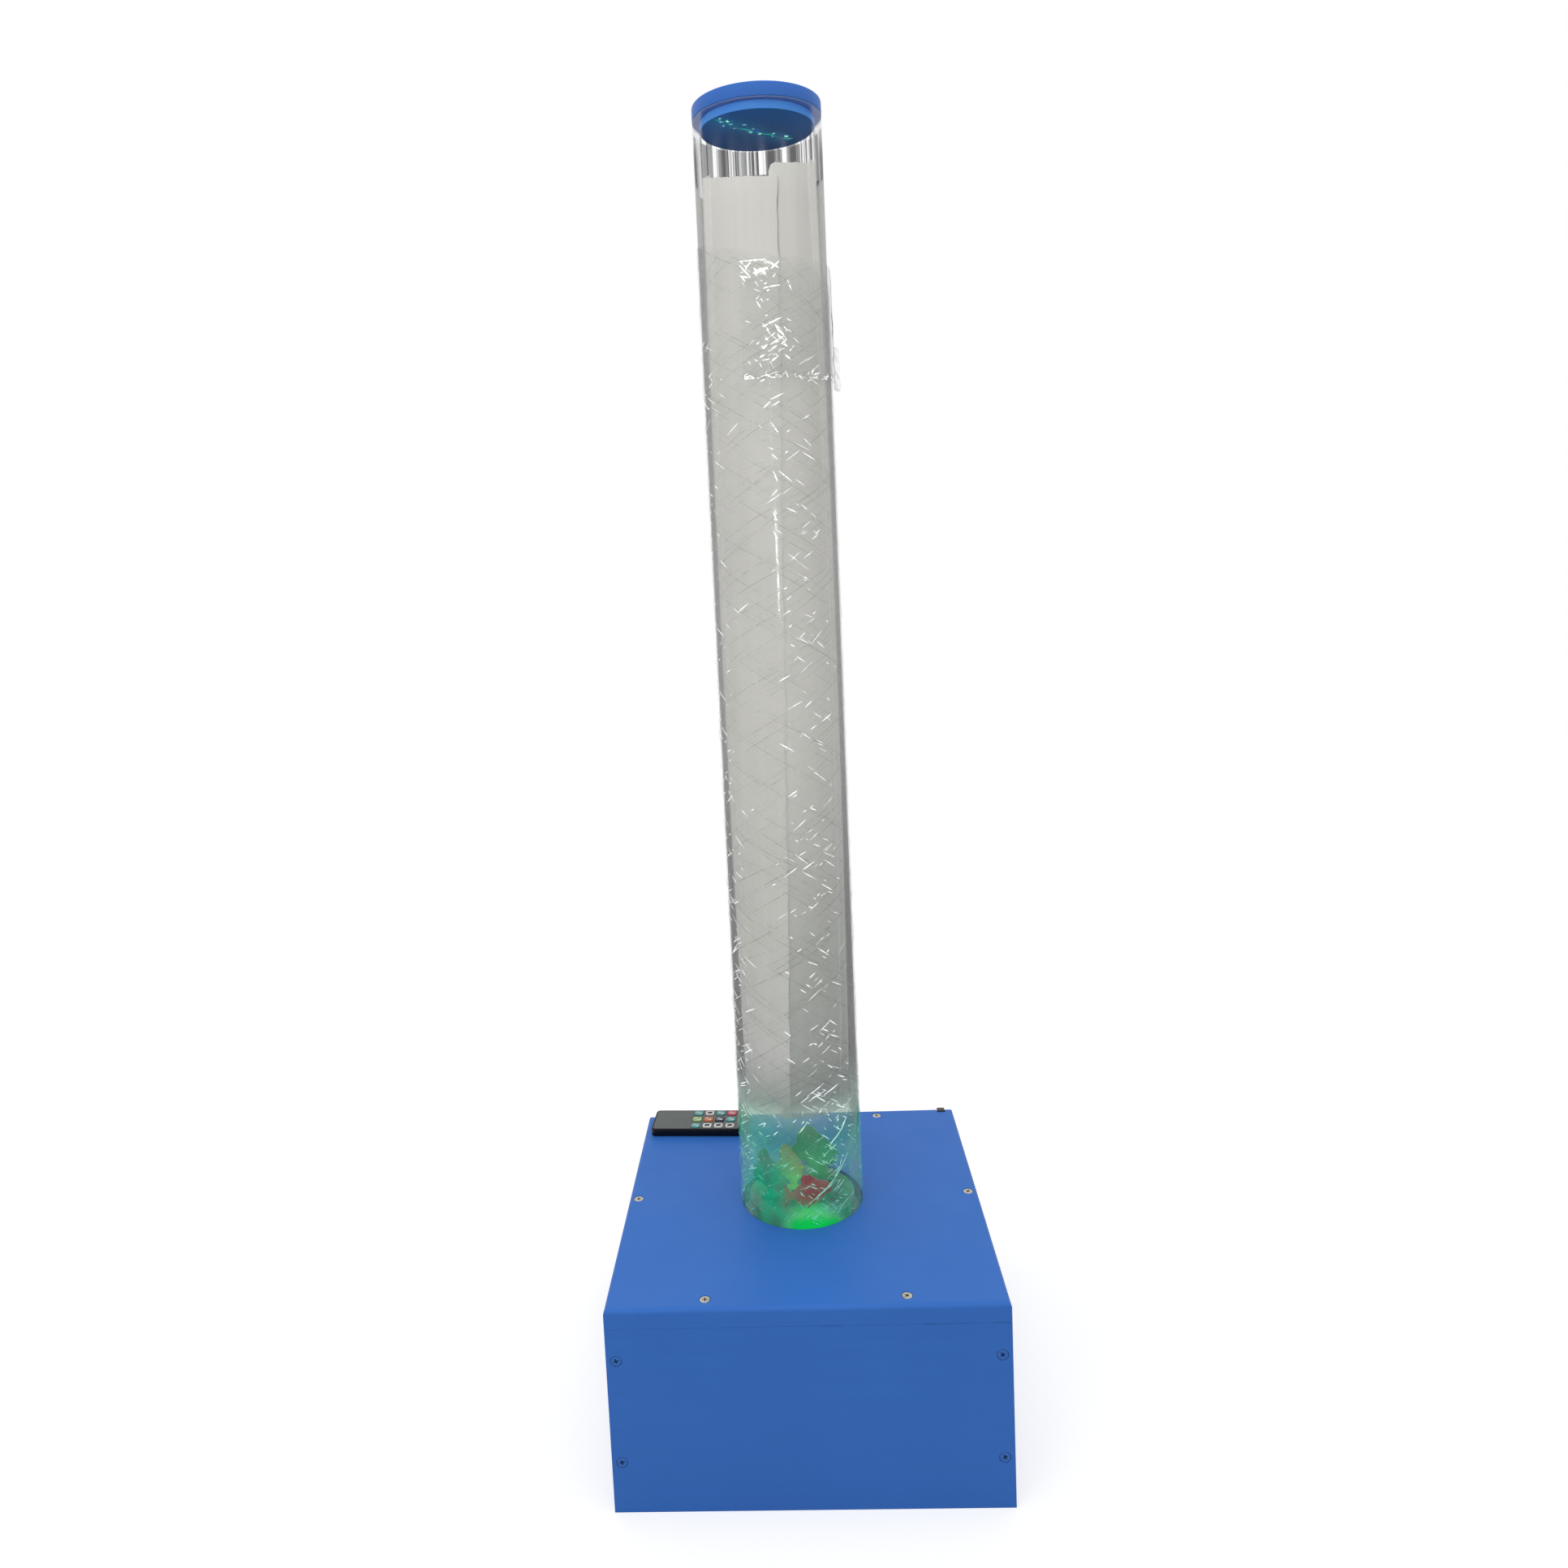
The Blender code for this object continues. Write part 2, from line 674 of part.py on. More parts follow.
def make_tube_foot(clear, frosted, white):
    """The base plate bonded under the top board, the air barb and the bubble disc."""
    plate = turned("tube_base_plate",
                   [(0, PLATE_TOP), (PLATE_RADIUS, PLATE_TOP),
                    (PLATE_RADIUS, PLATE_UNDERSIDE), (0, PLATE_UNDERSIDE)],
                   clear, sides=TUBE_SIDES)
    barb_hole = as_cutter(cylinder("barb_hole", BARB_SHANK_RADIUS + FIT,
                                   PLATE_THICKNESS + 2 * OVERRUN,
                                   (0, 0, PLATE_TOP - PLATE_THICKNESS / 2), sides=SMALL_SIDES))
    cut(plate, barb_hole)

    flange_top = PLATE_TOP + FIT + BARB_FLANGE
    shank_bottom = PLATE_UNDERSIDE - BARB_SHANK_DROP
    turned("air_barb",
           [(BARB_BORE_RADIUS, flange_top), (BARB_FLANGE_RADIUS, flange_top),
            (BARB_FLANGE_RADIUS, PLATE_TOP + FIT), (BARB_SHANK_RADIUS, PLATE_TOP + FIT),
            (BARB_SHANK_RADIUS, shank_bottom), (BARB_RADIUS, shank_bottom),
            (BARB_RADIUS, BARB_BOTTOM), (BARB_BORE_RADIUS, BARB_BOTTOM)],
           white, sides=SMALL_SIDES)

    radius = TUBE_INNER_RADIUS - DISC_CLEARANCE
    skirt = radius - DISC_SKIRT_INSET
    under = DISC_TOP - DISC_THICKNESS
    foot = PLATE_TOP + FIT
    disc = turned("bubble_disc",
                  [(0, DISC_TOP), (radius, DISC_TOP), (radius, under), (skirt, under),
                   (skirt, foot), (skirt - DISC_SKIRT_WALL, foot),
                   (skirt - DISC_SKIRT_WALL, under), (0, under)],
                  frosted, sides=TUBE_SIDES)
    hole = cylinder("disc_hole", DISC_HOLE_RADIUS, DISC_THICKNESS + 2 * OVERRUN,
                    (0, 0, DISC_TOP - DISC_THICKNESS / 2), sides=SMALL_SIDES)
    spots = []
    for circle, count in zip(DISC_HOLE_CIRCLES, DISC_HOLE_COUNTS):
        for spot in on_circle(circle, count, circle / TUBE_RADIUS):
            spots.append(Matrix.Translation(spot))
    cut(disc, as_cutter(repeated("disc_holes", hole, spots)))


def make_tube_and_cap(clear, paint):
    """The clear tube, and the cap of two discs with the vent through it."""
    turned("tube",
           [(TUBE_INNER_RADIUS, TUBE_TOP), (TUBE_RADIUS, TUBE_TOP),
            (TUBE_RADIUS, TUBE_BOTTOM), (TUBE_INNER_RADIUS, TUBE_BOTTOM)],
           clear, sides=TUBE_SIDES)
    low = TUBE_TOP + FIT
    high = low + CAP_DISC_THICKNESS
    rim = TUBE_RADIUS
    turned("cap_disc",
           [(CAP_VENT_RADIUS, high), (rim - CAP_ROUND, high), (rim, high - CAP_ROUND),
            (rim, low + CAP_ROUND), (rim - CAP_ROUND, low), (CAP_VENT_RADIUS, low)],
           paint, sides=TUBE_SIDES)
    plug = TUBE_INNER_RADIUS - CAP_PLUG_CLEARANCE
    plug_low = TUBE_TOP - CAP_PLUG_THICKNESS
    turned("cap_plug",
           [(CAP_VENT_RADIUS, TUBE_TOP), (plug, TUBE_TOP), (plug, plug_low + CAP_ROUND),
            (plug - CAP_ROUND, plug_low), (CAP_VENT_RADIUS, plug_low)],
           paint, sides=TUBE_SIDES)


def make_lamp(board_green):
    """The ring board under the base plate, with its light-emitting chips soldered on."""
    board = turned("ring_board",
                   [(LAMP_INNER_RADIUS, LAMP_TOP), (LAMP_OUTER_RADIUS, LAMP_TOP),
                    (LAMP_OUTER_RADIUS, LAMP_UNDERSIDE), (LAMP_INNER_RADIUS, LAMP_UNDERSIDE)])
    chip = box("chip", (CHIP_SIZE, CHIP_SIZE, CHIP_HEIGHT + CHIP_SEAT),
               (0, 0, LAMP_TOP + (CHIP_HEIGHT - CHIP_SEAT) / 2))
    spots = [Matrix.Translation(spot) for spot in on_circle(CHIP_CIRCLE, CHIP_COUNT)]
    union("lamp_board", board, [repeated("chips", chip, spots)], board_green)


def make_sleeves(milky, film):
    """The rolled liner, the stretch film round the tube, and the tape with its loose flap."""
    liner_radius = TUBE_INNER_RADIUS - LINER_GAP - LINER_LAYER

    def on_liner(across, up):
        angle = LINER_START + across * (math.tau + LINER_OVERLAP) + up * LINER_SKEW
        rise = LINER_TOP - LINER_TOP_DIP * math.cos(angle)
        top = rise + LINER_TOP_STEP / 2 - LINER_TOP_STEP * across
        height = LINER_BOTTOM + up * (top - LINER_BOTTOM)
        return round_point(liner_radius + LINER_LAYER * across, angle, height)

    rolled_sheet("liner_sheet", LINER_COLUMNS, LINER_ROWS, on_liner, LINER_THICKNESS, milky)

    wrap_bottom = BOX_HEIGHT + FIT
    wrap_radius = TUBE_RADIUS + WRAP_GAP + WRAP_THICKNESS

    def on_wrap(across, up):
        angle = WRAP_START + across * (math.tau + WRAP_OVERLAP)
        top = WRAP_TOP + WRAP_TOP_STEP / 2 - WRAP_TOP_STEP * across
        height = wrap_bottom + up * (top - wrap_bottom)
        return round_point(wrap_radius + WRAP_LAYER * across, angle, height)

    rolled_sheet("stretch_wrap", WRAP_COLUMNS, 1, on_wrap, WRAP_THICKNESS, film)

    tape_radius = wrap_radius + WRAP_LAYER + TAPE_GAP + TAPE_THICKNESS

    end = TAPE_START + TAPE_TURN
    onward = Vector((math.cos(end), math.sin(end), 0))
    outward = Vector((math.sin(end), -math.cos(end), 0))
    arc_share = TAPE_COLUMNS / (TAPE_COLUMNS + FLAP_COLUMNS)

    def on_tape(across, up):
        if across <= arc_share + MERGE:
            angle = TAPE_START + across / arc_share * TAPE_TURN
            return round_point(tape_radius, angle, TAPE_BOTTOM + up * (TAPE_TOP - TAPE_BOTTOM))
        away = (across - arc_share) / (1 - arc_share)
        point = round_point(tape_radius, end, FLAP_BOTTOM + up * (FLAP_TOP - FLAP_BOTTOM))
        return point + onward * away * FLAP_LENGTH + outward * away ** 2 * FLAP_FLARE

    rolled_sheet("wrap_tape", TAPE_COLUMNS + FLAP_COLUMNS, 1, on_tape, TAPE_THICKNESS, film)


def make_fish(name, material, upright):
    """A moulded plastic fish: a body with a tail and a back fin."""
    length, height, thickness = FISH_SIZES[name]
    body_length = length * FISH_BODY_SHARE
    bpy.ops.mesh.primitive_uv_sphere_add(segments=FISH_SIDES, ring_count=FISH_RINGS, radius=1)
    body = bpy.context.object
    body.data.transform(Matrix.Rotation(math.pi / 2, 4, 'Y'))
    body.data.transform(Matrix.Diagonal((body_length / 2, thickness / 2, height / 2, 1)))
    body.data.transform(Matrix.Translation((length - body_length / 2, 0, 0)))
    file_under(body, name + "_body")
    slim = thickness * FISH_TAIL_THICKNESS_SHARE
    tail = flat_shape(name + "_tail", [(x * length, z * height) for x, z in TAIL_SHARES], slim)
    fin = flat_shape(name + "_fin", [(x * length, z * height) for x, z in FIN_SHARES], slim)
    for flat in (tail, fin):
        flat.data.transform(Matrix.Rotation(math.pi / 2, 4, 'X'))
    fish = union(name, body, [tail, fin], material)
    rest = DISC_TOP + FIT
    middle_x, middle_y = FISH_PLACES[name]
    if upright:
        fish.rotation_euler = (0, -math.pi / 2, 0)
        fish.location = (middle_x, middle_y, rest)
    else:
        fish.location = (middle_x - length / 2, middle_y, rest + height / 2)
    return fish


def pump_point(along, across, height):
    """A point in the pump's own frame, which has its middle on the bottom board."""
    return Vector((PUMP_PLACE[0] + along, PUMP_PLACE[1] + across, height))


def make_pump(plastic, cover_plastic, iron, rubber):
    """A diaphragm air pump: a magnet on a hinged arm is shaken by the coil."""
    inner_length = PUMP_LENGTH - 2 * PUMP_WALL
    inner_width = PUMP_WIDTH - 2 * PUMP_WALL
    pivot_x = -inner_length / 2 + PIVOT_INSET
    pivot = pump_point(pivot_x, PIVOT_OFFSET, PUMP_AXIS)
    floor = FLOOR + PUMP_WALL

    def upright_edge(one, other):
        return abs(one.z - other.z) > PUMP_WALL

    tray = box("tray", (PUMP_LENGTH, PUMP_WIDTH, PUMP_TRAY_HEIGHT),
               pump_point(0, 0, FLOOR + PUMP_TRAY_HEIGHT / 2))
    round_edges(tray, PUMP_CORNER, 2, upright_edge)
    hollow = box("tray_hollow", (inner_length, inner_width, PUMP_TRAY_HEIGHT),
                 pump_point(0, 0, floor + PUMP_TRAY_HEIGHT / 2))
    cut(tray, as_cutter(hollow))
    post_height = PUMP_AXIS + ARM_HEIGHT / 2 + FIT - floor + PUMP_WALL / 2
    post = cylinder("post", PIVOT_RADIUS, post_height,
                    (pivot.x, pivot.y, floor - PUMP_WALL / 2 + post_height / 2),
                    sides=SMALL_SIDES)
    seat_height = PUMP_AXIS - ARM_HEIGHT / 2 - FIT - floor + PUMP_WALL / 2
    seat = cylinder("seat", KNUCKLE_RADIUS, seat_height,
                    (pivot.x, pivot.y, floor - PUMP_WALL / 2 + seat_height / 2),
                    sides=SMALL_SIDES)
    cover_low = PUMP_SPLIT + FIT
    cover = box("pump_cover", (PUMP_LENGTH, PUMP_WIDTH, PUMP_COVER_HEIGHT),
                pump_point(0, 0, cover_low + PUMP_COVER_HEIGHT / 2), cover_plastic)
    round_edges(cover, PUMP_CORNER, 2, upright_edge)
    hollow = box("cover_hollow", (inner_length, inner_width, PUMP_COVER_HEIGHT),
                 pump_point(0, 0, cover_low - PUMP_WALL + PUMP_COVER_HEIGHT / 2))
    valve_back = inner_width / 2 - FIT
    valve_top = floor + FIT + VALVE_HEIGHT
    outlet_height = valve_top - OUTLET_DROP
    outlet_length = PUMP_WALL + FIT + OUTLET_REACH
    hole = cylinder("outlet_hole", OUTLET_HOLE_RADIUS, PUMP_WALL + 2 * OVERRUN,
                    pump_point(pivot_x + DIAPHRAGM_REACH, PUMP_WIDTH / 2, outlet_height),
                    sides=SMALL_SIDES, turn=(math.pi / 2, 0, 0))
    cut(cover, as_cutter(hollow), as_cutter(hole))

    reach = pivot_x + DIAPHRAGM_REACH
    arm_face = PIVOT_OFFSET + ARM_THICKNESS / 2
    rim_face = arm_face + FIT + DIAPHRAGM_DEPTH
    valve_front = rim_face + DIAPHRAGM_CLEARANCE
    valve_low = floor - PUMP_WALL / 2
    valve = box("valve", (VALVE_LENGTH, valve_back - valve_front, valve_top - valve_low),
                pump_point(reach, (valve_front + valve_back) / 2, (valve_top + valve_low) / 2))
    barb = cylinder("outlet", OUTLET_RADIUS, outlet_length + PUMP_WALL,
                    pump_point(reach, valve_back + outlet_length / 2 - PUMP_WALL / 2,
                               outlet_height),
                    sides=SMALL_SIDES, turn=(math.pi / 2, 0, 0))
    union("pump_tray", tray, [post, seat, valve, barb], plastic)

    bar = box("bar", (ARM_LENGTH, ARM_THICKNESS, ARM_HEIGHT),
              (pivot.x + ARM_LENGTH / 2, pivot.y, pivot.z))
    knuckle = cylinder("knuckle", KNUCKLE_RADIUS, ARM_HEIGHT, pivot, sides=ROUND_SIDES)
    magnet_face = PIVOT_OFFSET - ARM_THICKNESS / 2 - MAGNET_DEPTH
    magnet_x = pivot_x + ARM_LENGTH - MAGNET_LENGTH / 2
    magnet = box("magnet", (MAGNET_LENGTH, MAGNET_DEPTH + MAGNET_SEAT, MAGNET_HEIGHT),
                 pump_point(magnet_x, magnet_face + (MAGNET_DEPTH + MAGNET_SEAT) / 2, PUMP_AXIS))
    arm = union("pump_arm", knuckle, [bar, magnet], iron)
    bore = cylinder("arm_bore", PIVOT_RADIUS + FIT, ARM_HEIGHT + 2 * OVERRUN, pivot,
                    sides=SMALL_SIDES)
    cut(arm, as_cutter(bore))

    pole = magnet_face - MAGNET_GAP
    back = -inner_width / 2 + FIT
    length = pole - back
    turned("pump_coil",
           [(0, length), (COIL_CORE_RADIUS, length),
            (COIL_CORE_RADIUS, length - COIL_POLE),
            (COIL_FLANGE_RADIUS, length - COIL_POLE),
            (COIL_FLANGE_RADIUS, length - COIL_POLE - COIL_FLANGE),
            (COIL_WINDING_RADIUS, length - COIL_POLE - COIL_FLANGE),
            (COIL_WINDING_RADIUS, COIL_FLANGE), (COIL_FLANGE_RADIUS, COIL_FLANGE),
            (COIL_FLANGE_RADIUS, 0), (0, 0)],
           iron, centre=pump_point(magnet_x, back, PUMP_AXIS), turn=(-math.pi / 2, 0, 0))

    turned("pump_diaphragm",
           [(0, DIAPHRAGM_DEPTH), (DIAPHRAGM_RADIUS, DIAPHRAGM_DEPTH),
            (DIAPHRAGM_RADIUS, DIAPHRAGM_DEPTH - DIAPHRAGM_RIM),
            (DIAPHRAGM_STEM_RADIUS, DIAPHRAGM_RIM / 2), (DIAPHRAGM_STEM_RADIUS, 0), (0, 0)],
           rubber, centre=pump_point(reach, arm_face + FIT, PUMP_AXIS), sides=SMALL_SIDES,
           turn=(-math.pi / 2, 0, 0))
    return pump_point(reach, valve_back + outlet_length, outlet_height)


def inside(shares):
    """Points inside the box from a table of shares."""
    height = TOP_UNDERSIDE - FLOOR
    return [Vector((x * INNER_WIDTH / 2, y * INNER_DEPTH / 2, FLOOR + z * height))
            for x, y, z in shares]


def make_hoses(outlet_end, rubber, white):
    """The air hose from the pump, the non-return valve, and the hose to the barb."""
    start = outlet_end + Vector((0, FIT, 0))
    centre = Vector((*CHECK_PLACE, 0))
    top = CHECK_BOTTOM + CHECK_LENGTH
    straight = Vector((0, 0, HOSE_STRAIGHT))
    low = centre + Vector((0, 0, CHECK_BOTTOM - FIT))
    high = centre + Vector((0, 0, top + FIT))
    end = Vector((0, 0, BARB_BOTTOM - FIT))
    out = start + Vector((0, HOSE_STRAIGHT, 0))
    tubing("air_hose_lower", [start, out, *inside(LOWER_HOSE_SHARES), low - straight, low],
           HOSE_RADIUS, rubber)
    tubing("air_hose_upper", [high, high + straight, *inside(UPPER_HOSE_SHARES), end - straight, end],
           HOSE_RADIUS, rubber)
    body_low = CHECK_BOTTOM + (CHECK_LENGTH - CHECK_BODY_LENGTH) / 2
    body_high = body_low + CHECK_BODY_LENGTH
    turned("check_valve",
           [(0, top), (CHECK_BARB_RADIUS, top), (CHECK_BARB_RADIUS, body_high),
            (CHECK_BODY_RADIUS, body_high), (CHECK_BODY_RADIUS, body_low),
            (CHECK_BARB_RADIUS, body_low), (CHECK_BARB_RADIUS, CHECK_BOTTOM),
            (0, CHECK_BOTTOM)],
           white, centre)


def make_sockets(back, black, rocker_red):
    """The low-voltage inlet and the rocker switch, let into the back board."""
    outer = BOX_DEPTH / 2
    face = outer - FIT
    turn = (-math.pi / 2, 0, 0)
    turned("dc_inlet",
           [(0, -INLET_BORE_DEPTH / 4), (INLET_PIN_RADIUS, -INLET_BORE_DEPTH / 4),
            (INLET_PIN_RADIUS, -INLET_BORE_DEPTH), (INLET_BORE_RADIUS, -INLET_BORE_DEPTH),
            (INLET_BORE_RADIUS, 0), (INLET_FLANGE_RADIUS, 0),
            (INLET_FLANGE_RADIUS, -INLET_FLANGE), (INLET_BODY_RADIUS, -INLET_FLANGE),
            (INLET_BODY_RADIUS, -INLET_LENGTH), (0, -INLET_LENGTH)],
           black, centre=(INLET_PLACE, face, SOCKET_HEIGHT), turn=turn)
    shelf = -INLET_FLANGE - FIT
    hole = turned("inlet_hole",
                  [(0, OVERRUN), (INLET_FLANGE_RADIUS + FIT, OVERRUN),
                   (INLET_FLANGE_RADIUS + FIT, shelf), (INLET_BODY_RADIUS + FIT, shelf),
                   (INLET_BODY_RADIUS + FIT, -BOARD - OVERRUN), (0, -BOARD - OVERRUN)],
                  centre=(INLET_PLACE, face, SOCKET_HEIGHT), turn=turn)

    flange_face = outer - SWITCH_RECESS + SWITCH_FLANGE
    flange = box("flange", (SWITCH_FLANGE_LENGTH, SWITCH_FLANGE, SWITCH_FLANGE_HEIGHT),
                 (SWITCH_PLACE, flange_face - SWITCH_FLANGE / 2, SOCKET_HEIGHT))
    block = box("block", (SWITCH_BODY_LENGTH, SWITCH_BODY_DEPTH, SWITCH_BODY_HEIGHT),
                (SWITCH_PLACE, flange_face - SWITCH_BODY_DEPTH / 2 - SWITCH_FLANGE / 2,
                 SOCKET_HEIGHT))
    body = union("switch_body", flange, [block], black)
    pocket_length = ROCKER_LENGTH + 2 * ROCKER_END_CLEARANCE
    pocket = box("rocker_pocket",
                 (pocket_length, ROCKER_POCKET_DEPTH + OVERRUN, ROCKER_HEIGHT + 2 * FIT),
                 (SWITCH_PLACE, flange_face - (ROCKER_POCKET_DEPTH - OVERRUN) / 2,
                  SOCKET_HEIGHT))
    cut(body, as_cutter(pocket))
    wide = box("switch_recess",
               (SWITCH_FLANGE_LENGTH + 2 * FIT, SWITCH_RECESS + FIT + OVERRUN,
                SWITCH_FLANGE_HEIGHT + 2 * FIT),
               (SWITCH_PLACE, outer - (SWITCH_RECESS + FIT - OVERRUN) / 2, SOCKET_HEIGHT))
    deep = box("switch_hole",
               (SWITCH_BODY_LENGTH + 2 * FIT, BOARD + 2 * OVERRUN, SWITCH_BODY_HEIGHT + 2 * FIT),
               (SWITCH_PLACE, outer - BOARD / 2, SOCKET_HEIGHT))
    cut(back, as_cutter(hole), as_cutter(wide), as_cutter(deep))

    half = ROCKER_LENGTH / 2
    low = ROCKER_DEPTH - ROCKER_AXIS_DEPTH
    heel = half * ROCKER_HEEL_SHARE
    outline = [(-half, ROCKER_AXIS_DEPTH), (0, ROCKER_AXIS_DEPTH - ROCKER_HOLLOW)]
    outline += [(half, ROCKER_AXIS_DEPTH), (heel, -low), (-heel, -low)]
    rocker = flat_shape("switch_rocker", outline, ROCKER_HEIGHT)
    rocker.rotation_euler = (0, 0, -ROCKER_TILT)
    rocker.location = (SWITCH_PLACE, flange_face - ROCKER_AXIS_DEPTH, SOCKET_HEIGHT)
    file_under(rocker, "switch_rocker", rocker_red)
    inlet_end = Vector((INLET_PLACE, face - INLET_LENGTH - FIT, SOCKET_HEIGHT))
    switch_end = flange_face - SWITCH_BODY_DEPTH - SWITCH_FLANGE / 2 - FIT
    return inlet_end, Vector((SWITCH_PLACE, switch_end, SOCKET_HEIGHT))


def make_controller(top, inlet_end, switch_end, black, eye_black, rubber):
    """The lamp controller, its receiver eye on the top board, and the leads inside."""
    place_x = INNER_WIDTH / 2 - CONTROLLER_INSET
    place_y = CONTROLLER_BACK
    case = box("controller_case", (CONTROLLER_LENGTH, CONTROLLER_WIDTH, CONTROLLER_HEIGHT),
               (place_x, place_y, FLOOR + CONTROLLER_HEIGHT / 2), black)
    round_edges(case, CONTROLLER_ROUND, 2)

    eye_x = BOX_WIDTH / 2 - EYE_INSET
    eye_y = BOX_DEPTH / 2 - FIT - EYE_WIDTH / 2
    eye = box("receiver_eye", (EYE_LENGTH, EYE_WIDTH, EYE_HEIGHT),
              (eye_x, eye_y, EYE_FLOOR + FIT + EYE_HEIGHT / 2), eye_black)
    round_edges(eye, EYE_ROUND, 2)
    pocket = box("eye_pocket",
                 (EYE_LENGTH + 2 * FIT, EYE_WIDTH + 2 * FIT + OVERRUN,
                  EYE_POCKET_DEPTH + OVERRUN),
                 (eye_x, eye_y + OVERRUN / 2, EYE_FLOOR + (EYE_POCKET_DEPTH + OVERRUN) / 2))
    start = Vector((eye_x, eye_y, EYE_FLOOR))
    out = Vector((INNER_WIDTH / 2 - EYE_HOLE_INSET, INNER_DEPTH / 2 - EYE_HOLE_INSET,
                  TOP_UNDERSIDE))
    along = (out - start).normalized()
    middle = (start + out) / 2
    length = (out - start).length + 2 * OVERRUN
    hole = cylinder("eye_hole", EYE_HOLE_RADIUS, length, middle + along * OVERRUN / 2,
                    sides=SMALL_SIDES, turn=along.to_track_quat('Z', 'Y').to_euler())
    cut(top, as_cutter(pocket), as_cutter(hole))

    rear = place_y + CONTROLLER_WIDTH / 2 + FIT
    pump_side = PUMP_PLACE[0] + PUMP_LENGTH / 2 + FIT
    pump_height = FLOOR + PUMP_TRAY_HEIGHT / 2
    splice = Vector((*SPLICE_PLACE, FLOOR + SPLICE_HEIGHT / 2))
    case_end = (place_x - CONTROLLER_LENGTH / 4, rear, FLOOR + CONTROLLER_HEIGHT / 2)
    pump_end = (pump_side, PUMP_PLACE[1], pump_height)
    lamp_end = Vector((CHIP_CIRCLE, LAMP_INNER_RADIUS, LAMP_UNDERSIDE - FIT))
    drop = Vector((0, 0, LEAD_STRAIGHT))
    eye_end = start + along * EYE_LEAD_DROP
    routes = [
        [inlet_end, *inside(INLET_LEAD_SHARES), splice],
        [switch_end, *inside(SWITCH_LEAD_SHARES), splice],
        [pump_end, *inside(PUMP_LEAD_SHARES), splice],
        [case_end, *inside(CONTROLLER_LEAD_SHARES), splice],
        [lamp_end, lamp_end - drop, *inside(LAMP_LEAD_SHARES), splice],
        [eye_end, middle, out, out + along * LEAD_STRAIGHT, *inside(EYE_LEAD_SHARES), splice],
    ]
    block = box("splice", (SPLICE_LENGTH, SPLICE_WIDTH, SPLICE_HEIGHT), splice)
    leads = []
    for index, route in enumerate(routes):
        leads.append(curve_to_mesh(tubing(f"lead_{index + 1}", route, LEAD_RADIUS)))
    union("wire_loom", block, leads, rubber)


def make_remote(black, face_grey, key_colours, steel):
    """The card remote that lies on the box, its twelve keys and its battery tray."""
    frame = bpy.data.objects.new("remote_frame", None)
    bpy.data.collections[PARTS].objects.link(frame)
    frame.location = (REMOTE_INSET[0] - BOX_WIDTH / 2, BOX_DEPTH / 2 - REMOTE_INSET[1],
                      BOX_HEIGHT + FIT)
    frame.rotation_euler = (0, 0, REMOTE_TURN)

    case = box("remote_case", (REMOTE_LENGTH, REMOTE_WIDTH, REMOTE_THICKNESS),
               (0, 0, REMOTE_THICKNESS / 2), face_grey)
    round_edges(case, REMOTE_CORNER, 3, lambda one, other: one.z * other.z < 0)
    case.parent = frame

    first = REMOTE_LENGTH / 2 - KEY_END_INSET - (KEY_COLUMNS - 1) * KEY_COLUMN_PITCH
    key_low = REMOTE_THICKNESS - KEY_POCKET_DEPTH + FIT + KEY_TRAVEL
    key_high = REMOTE_THICKNESS + KEY_PROUD
    pockets = []
    for row in range(KEY_ROWS):
        for column in range(KEY_COLUMNS):
            along = first + column * KEY_COLUMN_PITCH
            across = ((KEY_ROWS - 1) / 2 - row) * KEY_ROW_PITCH
            name = f"key_{'abc'[row]}{column + 1}"
            key = box(name, (KEY_LENGTH, KEY_WIDTH, key_high - key_low),
                      (along, across, (key_low + key_high) / 2), key_colours[row][column])
            round_edges(key, KEY_ROUND, 1)
            key.parent = frame
            pockets.append(Matrix.Translation((along, across, 0)))
    pocket = box("key_pocket",
                 (KEY_LENGTH + 2 * FIT, KEY_WIDTH + 2 * FIT, KEY_POCKET_DEPTH + OVERRUN),
                 (0, 0, REMOTE_THICKNESS + (OVERRUN - KEY_POCKET_DEPTH) / 2))
    pocket_cutter = as_cutter(repeated("key_pockets", pocket, pockets))

    end = -REMOTE_LENGTH / 2
    slot = box("tray_slot",
               (TRAY_LENGTH + FIT + OVERRUN, TRAY_WIDTH + 2 * FIT, TRAY_HEIGHT + 2 * FIT),
               (end + (TRAY_LENGTH + FIT - OVERRUN) / 2, 0,
                TRAY_UNDER + FIT + TRAY_HEIGHT / 2))
    as_cutter(slot)
    pocket_cutter.parent = frame
    slot.parent = frame
    cut(case, pocket_cutter, slot)

    tray = box("battery_tray", (TRAY_LENGTH, TRAY_WIDTH, TRAY_HEIGHT),
               (end + TRAY_LENGTH / 2, 0, TRAY_UNDER + FIT + TRAY_HEIGHT / 2), black)
    tray.parent = frame
    cell_low = TRAY_UNDER + FIT + CELL_FLOOR
    cell_place = (end + TRAY_LENGTH / 2, 0, cell_low + FIT + CELL_HEIGHT / 2)
    seat = cylinder("cell_seat", CELL_RADIUS + FIT, TRAY_HEIGHT,
                    (end + TRAY_LENGTH / 2, 0, cell_low + TRAY_HEIGHT / 2))
    as_cutter(seat)
    seat.parent = frame
    cut(tray, seat)
    cell = cylinder("coin_cell", CELL_RADIUS, CELL_HEIGHT, cell_place, steel)
    cell.parent = frame


